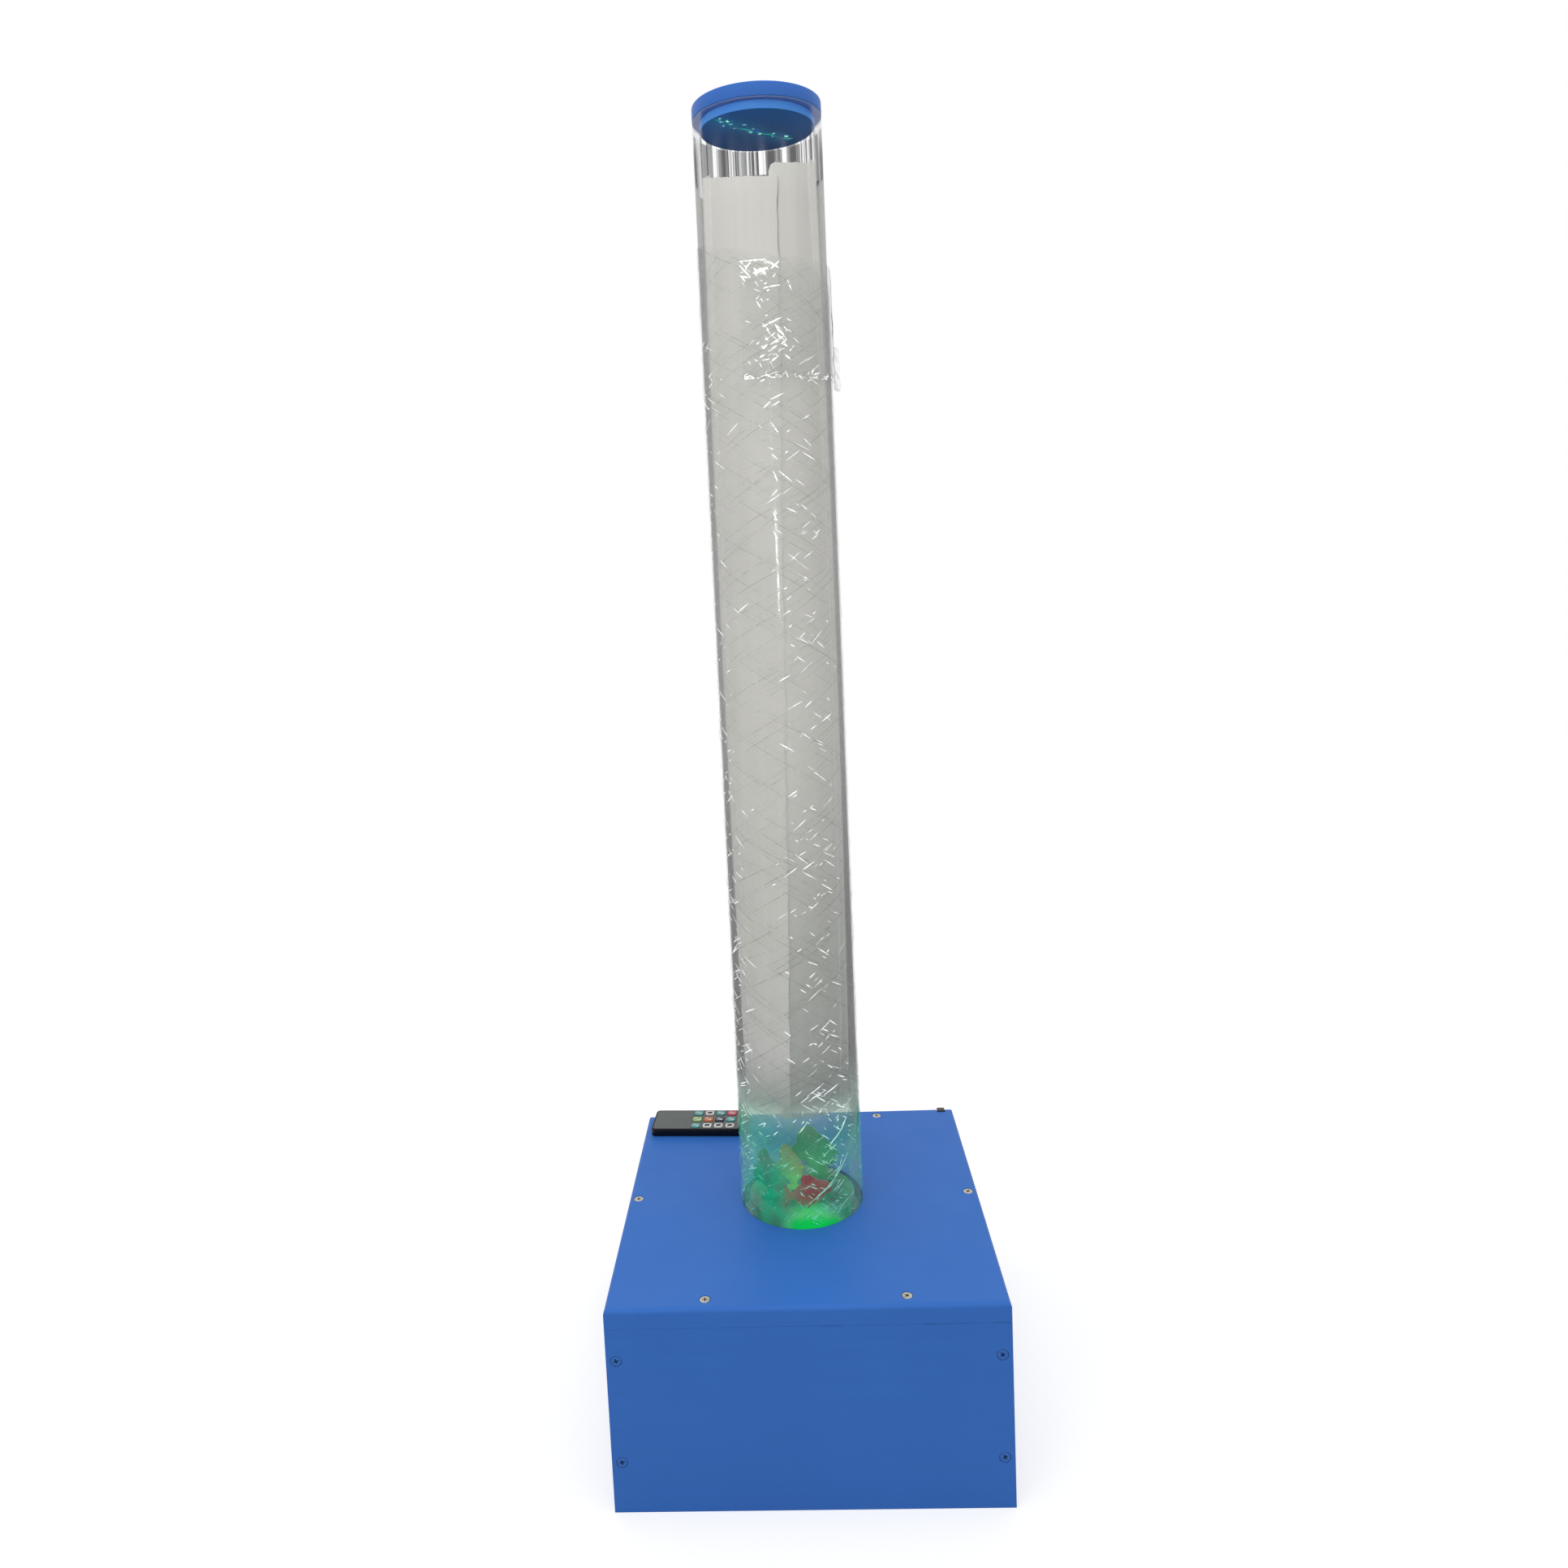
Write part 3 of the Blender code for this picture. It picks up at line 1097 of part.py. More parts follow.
def main():
    clear_scene()
    paint = finish("blue_paint", (0.045, 0.150, 0.510), 0.42)
    raw_wood = finish("bare_board", (0.520, 0.360, 0.200), 0.75)
    steel = finish("zinc_steel", (0.620, 0.600, 0.550), 0.35, metallic=1.0)
    clear = finish("clear_acrylic", (0.930, 0.950, 0.950), 0.05, transmission=1.0)
    frosted = finish("frosted_acrylic", (0.300, 0.850, 0.450), 0.40)
    milky = finish("milky_sheet", (0.620, 0.610, 0.570), 0.50)
    film = finish("clear_film", (0.900, 0.920, 0.920), 0.15, transmission=0.8)
    white = finish("white_plastic", (0.800, 0.800, 0.780), 0.45)
    black = finish("black_plastic", (0.020, 0.020, 0.022), 0.40)
    grey = finish("grey_plastic", (0.100, 0.100, 0.100), 0.45)
    rubber = finish("black_rubber", (0.030, 0.030, 0.030), 0.80)
    green = finish("board_green", (0.020, 0.180, 0.070), 0.50)
    red = finish("red_plastic", (0.600, 0.030, 0.030), 0.35)

    top, back = make_base_box(paint, raw_wood, steel)
    make_tube_foot(clear, frosted, white)
    make_tube_and_cap(clear, paint)
    make_lamp(green)
    make_sleeves(milky, film)
    make_fish("fish_red", red, upright=False)
    make_fish("fish_green", finish("green_plastic", (0.05, 0.45, 0.15), 0.35), upright=True)
    make_fish("fish_yellow", finish("yellow_plastic", (0.55, 0.60, 0.10), 0.35), upright=True)
    make_fish("fish_teal", finish("teal_plastic", (0.02, 0.45, 0.40), 0.35), upright=True)
    outlet_end = make_pump(black, grey, steel, rubber)
    make_hoses(outlet_end, rubber, white)
    inlet_end, switch_end = make_sockets(back, black, red)
    make_controller(top, inlet_end, switch_end, black, black, rubber)
    teal_key = finish("teal_key", (0.10, 0.35, 0.33), 0.50)
    white_key = finish("white_key", (0.75, 0.75, 0.78), 0.50)
    orange_key = finish("orange_key", (0.75, 0.25, 0.10), 0.50)
    red_key = finish("red_key", (0.65, 0.08, 0.12), 0.50)
    key_colours = [[teal_key, white_key, teal_key, red_key],
                   [teal_key, orange_key, white_key, teal_key],
                   [teal_key, white_key, white_key, white_key]]
    make_remote(black, grey, key_colours, steel)


main()
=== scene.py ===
"""Bubble tube lamp: the finished look of its box, tube, wrappings, fish and remote.

Metres, +Z up, the front of the box towards -Y. Run as a script, it registers its
operators, builds every piece on the frame and finishes the scene."""

import math
import random

import bmesh
import bpy
from bpy.props import FloatProperty, FloatVectorProperty, IntProperty, PointerProperty
from mathutils import Euler, Matrix, Vector


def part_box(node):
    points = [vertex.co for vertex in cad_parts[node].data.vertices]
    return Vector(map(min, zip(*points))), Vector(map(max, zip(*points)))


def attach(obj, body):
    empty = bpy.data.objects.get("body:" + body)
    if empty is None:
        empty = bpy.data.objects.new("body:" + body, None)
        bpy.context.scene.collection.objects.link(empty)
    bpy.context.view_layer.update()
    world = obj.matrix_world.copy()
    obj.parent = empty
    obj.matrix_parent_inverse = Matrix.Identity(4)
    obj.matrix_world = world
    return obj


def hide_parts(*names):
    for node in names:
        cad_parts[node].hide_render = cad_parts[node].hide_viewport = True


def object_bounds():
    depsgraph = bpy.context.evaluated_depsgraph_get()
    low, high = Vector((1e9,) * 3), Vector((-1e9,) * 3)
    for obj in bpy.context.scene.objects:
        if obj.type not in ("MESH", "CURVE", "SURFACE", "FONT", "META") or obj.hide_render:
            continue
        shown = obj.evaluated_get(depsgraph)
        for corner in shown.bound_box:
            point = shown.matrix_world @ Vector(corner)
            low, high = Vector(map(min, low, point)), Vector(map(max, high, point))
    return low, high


bl_info = {
    "name": "Bubble tube lamp",
    "version": (1, 0, 0),
    "blender": (4, 5, 0),
    "location": "3D View > Sidebar > Lamp",
    "description": "Builds a bubble tube lamp on its packed frame, with a stage round it",
    "category": "Add Mesh",
}

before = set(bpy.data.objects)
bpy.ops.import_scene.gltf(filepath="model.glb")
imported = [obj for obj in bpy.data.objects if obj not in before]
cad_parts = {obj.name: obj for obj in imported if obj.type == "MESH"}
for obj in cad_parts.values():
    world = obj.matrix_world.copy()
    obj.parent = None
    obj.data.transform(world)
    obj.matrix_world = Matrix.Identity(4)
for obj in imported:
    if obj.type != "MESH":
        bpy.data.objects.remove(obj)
cad_low, cad_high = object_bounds()
tube_low, tube_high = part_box("tube")
board_low, board_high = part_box("base_top")
film_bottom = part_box("stretch_wrap")[0].z
liner_low, liner_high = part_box("liner_sheet")


def shade_of(red, green, blue):
    """A colour as it looks on screen, from 0 to 255, as Blender's own numbers."""
    parts = []
    for part in (red, green, blue):
        part /= 255
        parts.append(part / 12.92 if part <= 0.04045 else ((part + 0.055) / 1.055) ** 2.4)
    return tuple(parts)


def times(colour, factor, most=1.0):
    """A colour made duller or brighter."""
    return tuple(min(most, part * factor) for part in colour)


def length_setting(name, description, default):
    """A size in metres."""
    return FloatProperty(name=name, description=description, default=default,
                         precision=4, unit='LENGTH')


def colour_setting(name, description, default):
    """A colour."""
    return FloatVectorProperty(name=name, description=description, default=default,
                               subtype='COLOR', min=0.0, max=1.0)


class LampSizes(bpy.types.PropertyGroup):
    """Sizes that the frame leaves free."""
    tube_sides: IntProperty(
        name="Tube sides", description="Faces round the tube and the cap", default=128)
    tube_wall: length_setting("Tube wall", "Thickness of the clear tube's wall", 0.005)
    board_edge: length_setting("Board edge", "Rounding of the boards' sawn edges", 0.0006)
    top_round: length_setting("Top rounding", "Rounding of the top board's edges", 0.004)
    cap_edge: length_setting("Cap edge", "Rounding of the cap's rims", 0.001)
    vent: length_setting("Vent radius", "Radius of the hole through the cap", 0.003)
    screw_head: length_setting("Screw head radius", "Radius of the countersunk heads", 0.004)
    crease_pitch: length_setting("Crease pitch", "Distance between the film's creases", 0.0135)
    crease_width: length_setting("Crease width", "Width of a crease in the film", 0.0011)
    crease_angle: FloatProperty(
        name="Crease angle", description="Climb of the film's creases round the tube",
        default=math.radians(31), subtype='ANGLE')
    crinkle: length_setting("Tape crinkle", "Height of the crinkles in the tape", 0.0006)


class LampColours(bpy.types.PropertyGroup):
    """Colours of the finishes."""
    paint: colour_setting("Board paint", "Satin paint of the box", shade_of(51, 109, 193))
    cap_paint: colour_setting("Cap paint", "Satin paint of the cap", shade_of(60, 114, 200))
    bare_wood: colour_setting("Bare board", "Unpainted bottom board", shade_of(178, 142, 98))
    zinc: colour_setting("Zinc", "Plated screws", shade_of(206, 204, 190))
    liner: colour_setting("Liner sheet", "Milky sheet in the tube", shade_of(231, 230, 224))
    film_grey: colour_setting("Film wrinkle", "Fine wrinkles of the film", shade_of(190, 192, 190))
    crease: colour_setting("Film crease", "Long creases of the film", shade_of(142, 142, 134))
    # Painted shade: the grey given to a clear wall where it is seen edge on
    painted_edge_shade: colour_setting("Tube edge", "Tube wall seen edge on", shade_of(118, 120, 116))
    glow: colour_setting("Glow", "Light of the lamp under the disc", (0.0, 0.62, 0.07))
    glow_side: colour_setting("Glow at the side", "Light at the disc's edge", (0.0, 0.30, 0.13))
    mist: colour_setting("Mist", "Lamp light caught in the film", (0.0, 0.55, 0.25))
    red: colour_setting("Red fish", "Moulded red plastic", shade_of(184, 40, 48))
    green: colour_setting("Green fish", "Moulded green plastic", shade_of(74, 170, 104))
    yellow: colour_setting("Yellow fish", "Moulded yellow plastic", shade_of(190, 196, 108))
    teal: colour_setting("Teal fish", "Moulded teal plastic", shade_of(16, 150, 128))
    remote_face: colour_setting("Remote face", "Satin face of the remote", shade_of(84, 90, 88))
    remote_body: colour_setting("Remote body", "Black plastic of the remote", shade_of(10, 12, 22))


# ---------------------------------------------------------------- shader helpers

class Wire:
    """A shader socket on which maths is written as plain expressions."""

    def __init__(self, finish, socket):
        self.finish = finish
        self.socket = socket

    def __add__(self, other):
        return self.finish.maths('ADD', self, other)

    __radd__ = __add__

    def __sub__(self, other):
        return self.finish.maths('SUBTRACT', self, other)

    def __rsub__(self, other):
        return self.finish.maths('SUBTRACT', other, self)

    def __mul__(self, other):
        return self.finish.maths('MULTIPLY', self, other)

    __rmul__ = __mul__

    def __truediv__(self, other):
        return self.finish.maths('DIVIDE', self, other)

    def __rtruediv__(self, other):
        return self.finish.maths('DIVIDE', other, self)

    def __pow__(self, other):
        return self.finish.maths('POWER', self, other)

    def __abs__(self):
        return self.finish.maths('ABSOLUTE', self)

    def __gt__(self, other):
        return self.finish.maths('GREATER_THAN', self, other)


class Finish:
    """A material under way, or the node tree that is given."""

    def __init__(self, name="", tree=None):
        if tree is None:
            self.material = bpy.data.materials.new(name)
            self.material.use_nodes = True
            tree = self.material.node_tree
        self.tree = tree
        self.tree.nodes.clear()

    def node(self, kind, settings=None, sockets=None, out=0):
        """Add a node: its settings first, then the values or links of its sockets."""
        node = self.tree.nodes.new("ShaderNode" + kind)
        for key, value in (settings or {}).items():
            setattr(node, key, value)
        for key, value in (sockets or {}).items():
            if isinstance(value, Wire):
                self.tree.links.new(value.socket, node.inputs[key])
            else:
                node.inputs[key].default_value = value
        return Wire(self, node.outputs[out])

    def maths(self, operation, *values):
        """One Math node."""
        return self.node("Math", {"operation": operation}, dict(enumerate(values)))

    def step(self, value, low, high, to_low=0.0, to_high=1.0):
        """A smooth step of a value from low to high."""
        return self.node("MapRange", {"interpolation_type": 'SMOOTHSTEP'},
                         {"Value": value, "From Min": low, "From Max": high,
                          "To Min": to_low, "To Max": to_high})

    def fall(self, value, low, high):
        """A smooth step from 1 down to 0."""
        return 1 - self.step(value, low, high)

    def mixed(self, share, one, other):
        """Two colours mixed by a share."""
        one = one if isinstance(one, Wire) else (*one[:3], 1)
        other = other if isinstance(other, Wire) else (*other[:3], 1)
        return self.node("Mix", {"data_type": 'RGBA'}, {0: share, 6: one, 7: other}, 2)

    def mottled(self, tone, colour, dull, light, low=0.3, high=0.7, most=1.0):
        """A colour that wanders between a duller and a lighter one."""
        return self.mixed(self.step(tone, low, high), times(colour, dull, most),
                          times(colour, light, most))

    def place(self):
        """Object coordinates."""
        return self.node("TexCoord", out="Object")

    def stretched(self, vector, scale):
        """A vector scaled along each axis."""
        return self.node("Mapping", sockets={"Vector": vector, "Scale": scale})

    def facing(self):
        """How far a surface turns away from the eye, from 0 to 1."""
        return self.node("LayerWeight", sockets={"Blend": 0.5}, out="Facing")

    def on_sheet(self, width, height):
        """Metres along and up a sheet, from its own UV map."""
        across = self.node("SeparateXYZ", sockets={0: self.node("TexCoord", out="UV")})
        up = Wire(self, across.socket.node.outputs[1])
        return across * width, up * height

    def parts(self, vector):
        """The three numbers of a vector."""
        node = self.node("SeparateXYZ", sockets={0: vector}).socket.node
        return [Wire(self, output) for output in node.outputs]

    def joined(self, x=0.0, y=0.0, z=0.0):
        """Three numbers as a vector."""
        return self.node("CombineXYZ", sockets={0: x, 1: y, 2: z})

    def noise(self, vector, scale, detail=3.0, roughness=0.5, distortion=0.0):
        """Noise from 0 to 1."""
        return self.node("TexNoise", sockets={
            "Vector": vector, "Scale": scale, "Detail": detail,
            "Roughness": roughness, "Distortion": distortion})

    def chance(self, number):
        """A random value for a whole number."""
        return self.node("TexWhiteNoise", {"noise_dimensions": '1D'}, {"W": number}, "Value")

    def bump(self, height, distance, strength=1.0):
        """A bump from a height between 0 and 1."""
        return self.node("Bump", sockets={
            "Height": height, "Distance": distance, "Strength": strength})

    def surface(self, **values):
        """A Principled shader, its sockets given with underscores for spaces."""
        sockets = {}
        for key, value in values.items():
            name = key.replace("_", " ").replace("IOR level", "IOR Level")
            if isinstance(value, tuple) and len(value) == 3:
                value = (*value, 1)
            sockets[name] = value
        return self.node("BsdfPrincipled", sockets=sockets)

    def clear(self, share, solid):
        """Clear stuff with a share of a solid shader."""
        clear = self.node("BsdfTransparent")
        return self.node("MixShader", sockets={0: share, 1: clear, 2: solid})

    def done(self, shader):
        """Link the shader to the output, and give the material."""
        output = self.tree.nodes.new("ShaderNodeOutputMaterial")
        self.tree.links.new(shader.socket, output.inputs["Surface"])
        return self.material


# ---------------------------------------------------------------- modelling helpers

def object_mode():
    """Leave edit mode."""
    if bpy.context.object and bpy.context.object.mode != 'OBJECT':
        bpy.ops.object.mode_set(mode='OBJECT')


def clear_selection():
    """Leave edit mode and select nothing."""
    object_mode()
    bpy.ops.object.select_all(action='DESELECT')


def fix_place(location=True):
    """Put the active piece's place, turn and size into its mesh."""
    bpy.ops.object.transform_apply(location=location, rotation=True, scale=True)


def settle(name):
    """Name the new piece and fix its place."""
    piece = bpy.context.object
    piece.name = name
    piece.data.name = name
    fix_place()
    return piece


def block(name, low, high):
    """A block between two corners."""
    clear_selection()
    low, high = Vector(low), Vector(high)
    bpy.ops.mesh.primitive_cube_add(size=1, location=(low + high) / 2, scale=high - low)
    return settle(name)


def drum(name, radius, low, high, sides):
    """A round block that stands between two heights."""
    return rod(name, radius, high - low, sides, (0, 0, (low + high) / 2), (0, 0, 0))


def rod(name, radius, length, sides, middle, turn):
    """A round rod about a point."""
    clear_selection()
    bpy.ops.mesh.primitive_cylinder_add(vertices=sides, radius=radius, depth=length,
                                        location=middle, rotation=turn)
    return settle(name)


def pick(kind, test):
    """In edit mode, select what the test accepts: it gets a face's middle and normal, or an
    edge's two ends, or a corner's place."""
    if bpy.context.object.mode != 'EDIT':
        bpy.ops.object.mode_set(mode='EDIT')
    bpy.ops.mesh.select_mode(type=kind)
    bpy.ops.mesh.select_all(action='DESELECT')
    shape = bmesh.from_edit_mesh(bpy.context.object.data)
    if kind == 'FACE':
        for face in shape.faces:
            face.select_set(bool(test(face.calc_center_median(), face.normal)))
    elif kind == 'EDGE':
        for edge in shape.edges:
            edge.select_set(bool(test(edge.verts[0].co, edge.verts[1].co)))
    else:
        for corner in shape.verts:
            corner.select_set(bool(test(corner.co)))
    shape.select_flush_mode()
    bmesh.update_edit_mesh(bpy.context.object.data)


def level(one, other):
    """Whether an edge between two corners lies level."""
    return abs(one.z - other.z) < 0.0001


def upright(one, other):
    """Whether an edge between two corners climbs."""
    return abs(one.z - other.z) > 0.001


def bevel_edges(test, width, steps):
    """Round the edges that a test accepts."""
    pick('EDGE', test)
    bpy.ops.mesh.bevel(offset=width, segments=steps, affect='EDGES')


def extrude(move):
    """Draw the picked faces out along a vector."""
    bpy.ops.mesh.extrude_region_move(TRANSFORM_OT_translate={"value": Vector(move)})


def resize(value, middle):
    """Scale what is picked about a point."""
    bpy.ops.transform.resize(value=value, center_override=middle)


def lathe(name, profile, sides):
    """A round solid drawn up from a disc, ring by ring; the profile is (radius, height)."""
    clear_selection()
    radius, height = profile[0]
    bpy.ops.mesh.primitive_circle_add(vertices=sides, radius=radius, fill_type='NGON',
                                      location=(0, 0, height))
    piece = settle(name)
    bpy.ops.object.mode_set(mode='EDIT')
    bpy.ops.mesh.select_all(action='SELECT')
    for next_radius, next_height in profile[1:]:
        extrude((0, 0, next_height - height))
        share = next_radius / radius
        resize((share, share, 1), (0, 0, next_height))
        radius, height = next_radius, next_height
    bpy.ops.mesh.select_all(action='SELECT')
    bpy.ops.mesh.normals_make_consistent(inside=False)
    object_mode()
    return piece


def modify(kind, **settings):
    """Add a modifier to the active piece and apply it."""
    object_mode()
    modifier = bpy.context.object.modifiers.new(kind.lower(), kind)
    for key, value in settings.items():
        setattr(modifier, key, value)
    bpy.ops.object.modifier_apply(modifier=modifier.name)


def make_active(piece):
    """Select one piece alone."""
    clear_selection()
    piece.select_set(True)
    bpy.context.view_layer.objects.active = piece


def cut_with(piece, cutters):
    """Cut shapes out of a piece, and remove them."""
    make_active(piece)
    for cutter in cutters:
        modify('BOOLEAN', operation='DIFFERENCE', solver='EXACT', object=cutter)
        bpy.data.objects.remove(cutter, do_unlink=True)


def soften(width):
    """Round the active piece's sharp edges, and let its large faces rule the shading."""
    modify('BEVEL', width=width, segments=2, limit_method='ANGLE',
           angle_limit=math.radians(50), harden_normals=False)
    smooth(30)
    modify('WEIGHTED_NORMAL', keep_sharp=True, weight=80)


def smooth(angle=40):
    """Smooth shading with hard edges kept."""
    object_mode()
    bpy.ops.object.shade_smooth_by_angle(angle=math.radians(angle))


def twin(piece, name, place):
    """A copy with its own mesh, put where the matrix says."""
    copy = piece.copy()
    copy.data = piece.data.copy()
    bpy.context.collection.objects.link(copy)
    copy.matrix_world = place
    make_active(copy)
    return settle(name)


def stand_in(piece, materials, body, slot, *nodes):
    """Give a piece its finish, let it ride on its body and replace CAD nodes."""
    object_mode()
    if not piece.data.materials:
        for material in materials:
            piece.data.materials.append(material)
    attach(piece, body)
    if nodes:
        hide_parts(*nodes)
    return piece


def paint_nodes(material, *names):
    """Give CAD nodes a better material."""
    for name in names:
        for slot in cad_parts[name].material_slots:
            slot.material = material


def rolled(name, columns, rows, place, thickness):
    """A thin sheet with its UV map kept: place turns (across, up) into a point."""
    clear_selection()
    bpy.ops.mesh.primitive_grid_add(x_subdivisions=columns, y_subdivisions=rows, size=1)
    piece = settle(name)
    for corner in piece.data.vertices:
        corner.co = place(corner.co.x + 0.5, corner.co.y + 0.5)
    modify('SOLIDIFY', thickness=thickness, offset=-1)
    return piece


def threads(name, rows, thickness, layer):
    """Fine threads round the tube, pointed at both ends and pressed flat on a layer, as one
    mesh; a row is its stoutness and its points."""
    clear_selection()
    curve = bpy.data.curves.new(name, 'CURVE')
    curve.dimensions = '3D'
    curve.bevel_depth = thickness
    curve.bevel_resolution = 0
    for stout, row in rows:
        if len(row) < 3:
            continue
        spline = curve.splines.new('POLY')
        spline.points.add(len(row) - 1)
        for index, (corner, point) in enumerate(zip(spline.points, row)):
            corner.co = (*point, 1)
            corner.radius = stout * (0.3 + 0.7 * math.sin(math.pi * index / (len(row) - 1)))
    piece = bpy.data.objects.new(name, curve)
    bpy.context.collection.objects.link(piece)
    make_active(piece)
    bpy.ops.object.convert(target='MESH')
    piece = bpy.context.object
    for corner in piece.data.vertices:
        out = corner.co.xy.length
        corner.co.xy *= (layer + (out - layer) * 0.35) / out
    smooth(80)
    return piece


def round_point(radius, angle, height):
    """A point round the tube: angle 0 is at the front, and it grows to the right."""
    return Vector((radius * math.sin(angle), -radius * math.cos(angle), height))


def wave(value, *pitches):
    """A gentle irregular wave between about -1 and 1."""
    return sum(math.sin(value * math.tau / pitch + 1.7 * index)
               for index, pitch in enumerate(pitches, 1)) / len(pitches)


# ---------------------------------------------------------------- finishes
# Heights are metres above the floor, and foot is the top board's upper side.

EYE = 0.0012


def painted_board(name, colour, joint=None):
    """Satin roller paint on board, with a broken dark line along a joint's height."""
    finish = Finish(name)
    place = finish.place()
    cloud = finish.noise(place, 9, 4, 0.55)
    drag = finish.noise(finish.stretched(place, (3, 3, 60)), 2.2, 3)
    tone = (cloud - 0.5) * 0.10 + (drag - 0.5) * 0.05
    shade = finish.mottled(tone, colour, 0.93, 1.06, -0.06, 0.06)
    if joint is not None:
        x, y, z = finish.parts(place)
        near = finish.fall(abs(z - joint), 0.0003, 0.0022)
        broken = finish.step(finish.noise(finish.joined(x, y), 26, 2), 0.50, 0.66)
        shade = finish.mixed(near * broken * 0.16, shade, times(colour, 0.45))
    stipple = finish.noise(place, 850, 2, 0.6)
    return finish.done(finish.surface(
        Base_Color=shade, Roughness=finish.noise(place, 40, 3) * 0.14 + 0.40,
        Specular_IOR_level=0.22, Normal=finish.bump(stipple, 0.00012, 0.45)))


def painted_screw(name, colour):
    """A screw head painted over with its board, bare in a few specks."""
    finish = Finish(name)
    speck = finish.noise(finish.place(), 900, 3, 0.6)
    shade = finish.mixed(finish.step(speck, 0.60, 0.68) * 0.5, times(colour, 0.9),
                         shade_of(150, 156, 166))
    return finish.done(finish.surface(
        Base_Color=shade, Roughness=speck * 0.2 + 0.35, Specular_IOR_level=0.3,
        Normal=finish.bump(speck, 0.0001, 0.5)))


def bare_board(name, colour):
    """Unpainted board with its grain."""
    finish = Finish(name)
    grain = finish.noise(finish.stretched(finish.place(), (4, 55, 55)), 3.0, 5, 0.6, 0.6)
    return finish.done(finish.surface(
        Base_Color=finish.mottled(grain, colour, 0.72, 1.0, 0.35, 0.65),
        Roughness=grain * 0.2 + 0.6, Normal=finish.bump(grain, 0.0002, 0.5)))


def plated(name, colour, roughness=0.32):
    """Plated steel with fine turning marks."""
    finish = Finish(name)
    speck = finish.noise(finish.place(), 1400, 3, 0.6)
    return finish.done(finish.surface(
        Base_Color=finish.mottled(speck, colour, 0.7, 1.0, 0.35), Metallic=1.0,
        Roughness=speck * 0.2 + roughness - 0.1, Normal=finish.bump(speck, 0.00004, 0.5)))


def moulded(name, colour, roughness=0.4, grain=0.00003, shine=0.5):
    """Moulded plastic with a fine grain."""
    finish = Finish(name)
    place = finish.place()
    cloud = finish.noise(place, 70, 3)
    return finish.done(finish.surface(
        Base_Color=finish.mottled(cloud, colour, 0.9, 1.05),
        Roughness=cloud * 0.12 + roughness - 0.06, Specular_IOR_level=shine,
        Normal=finish.bump(finish.noise(place, 1800, 2), grain, 0.6)))


def foot_ring(finish, x, y, z, foot):
    """The lamp's light as a ring at the foot of the tube, strongest in front; also the way round
    the tube, and the clouds that make the ring uneven."""
    round_way = finish.maths('ARCTAN2', x, 0 - y)
    cloud = finish.noise(finish.joined(x, y, z * 0.7), 42, 4, 0.6)
    ring = finish.fall(z + (cloud - 0.5) * 0.030, foot + 0.002, foot + 0.016)
    return ring * finish.fall(abs(round_way - 0.20), 0.32, 0.62), round_way, cloud


def foot_veil(finish, z, foot, round_way, cloud):
    """The lamp's light spread over the film above the ring, strongest at the left."""
    low = finish.fall(z, foot + 0.030, foot + 0.125)
    left = finish.fall(abs(round_way + 0.62), 0.15, 0.75)
    return low * (finish.step(cloud, 0.34, 0.62) * 0.7 + 0.3) * (left * 0.5 + 0.5)


def clear_of(finish, z, foot, low):
    """A share that grows from 0.3 in the glow at the foot to 1 above it."""
    return finish.step(z, foot + low, foot + 0.12, 0.3, 1.0)


def liner_with_painted_shade(finish, shade, z, right):
    """The milky sheet's colour with painted shade: darker toward the foot, and most so on its right
    half.
    """
    low = finish.fall(z, 0.26, 0.60)
    return finish.mixed(low * (right * 0.42 + 0.10), shade, shade_of(120, 134, 124))


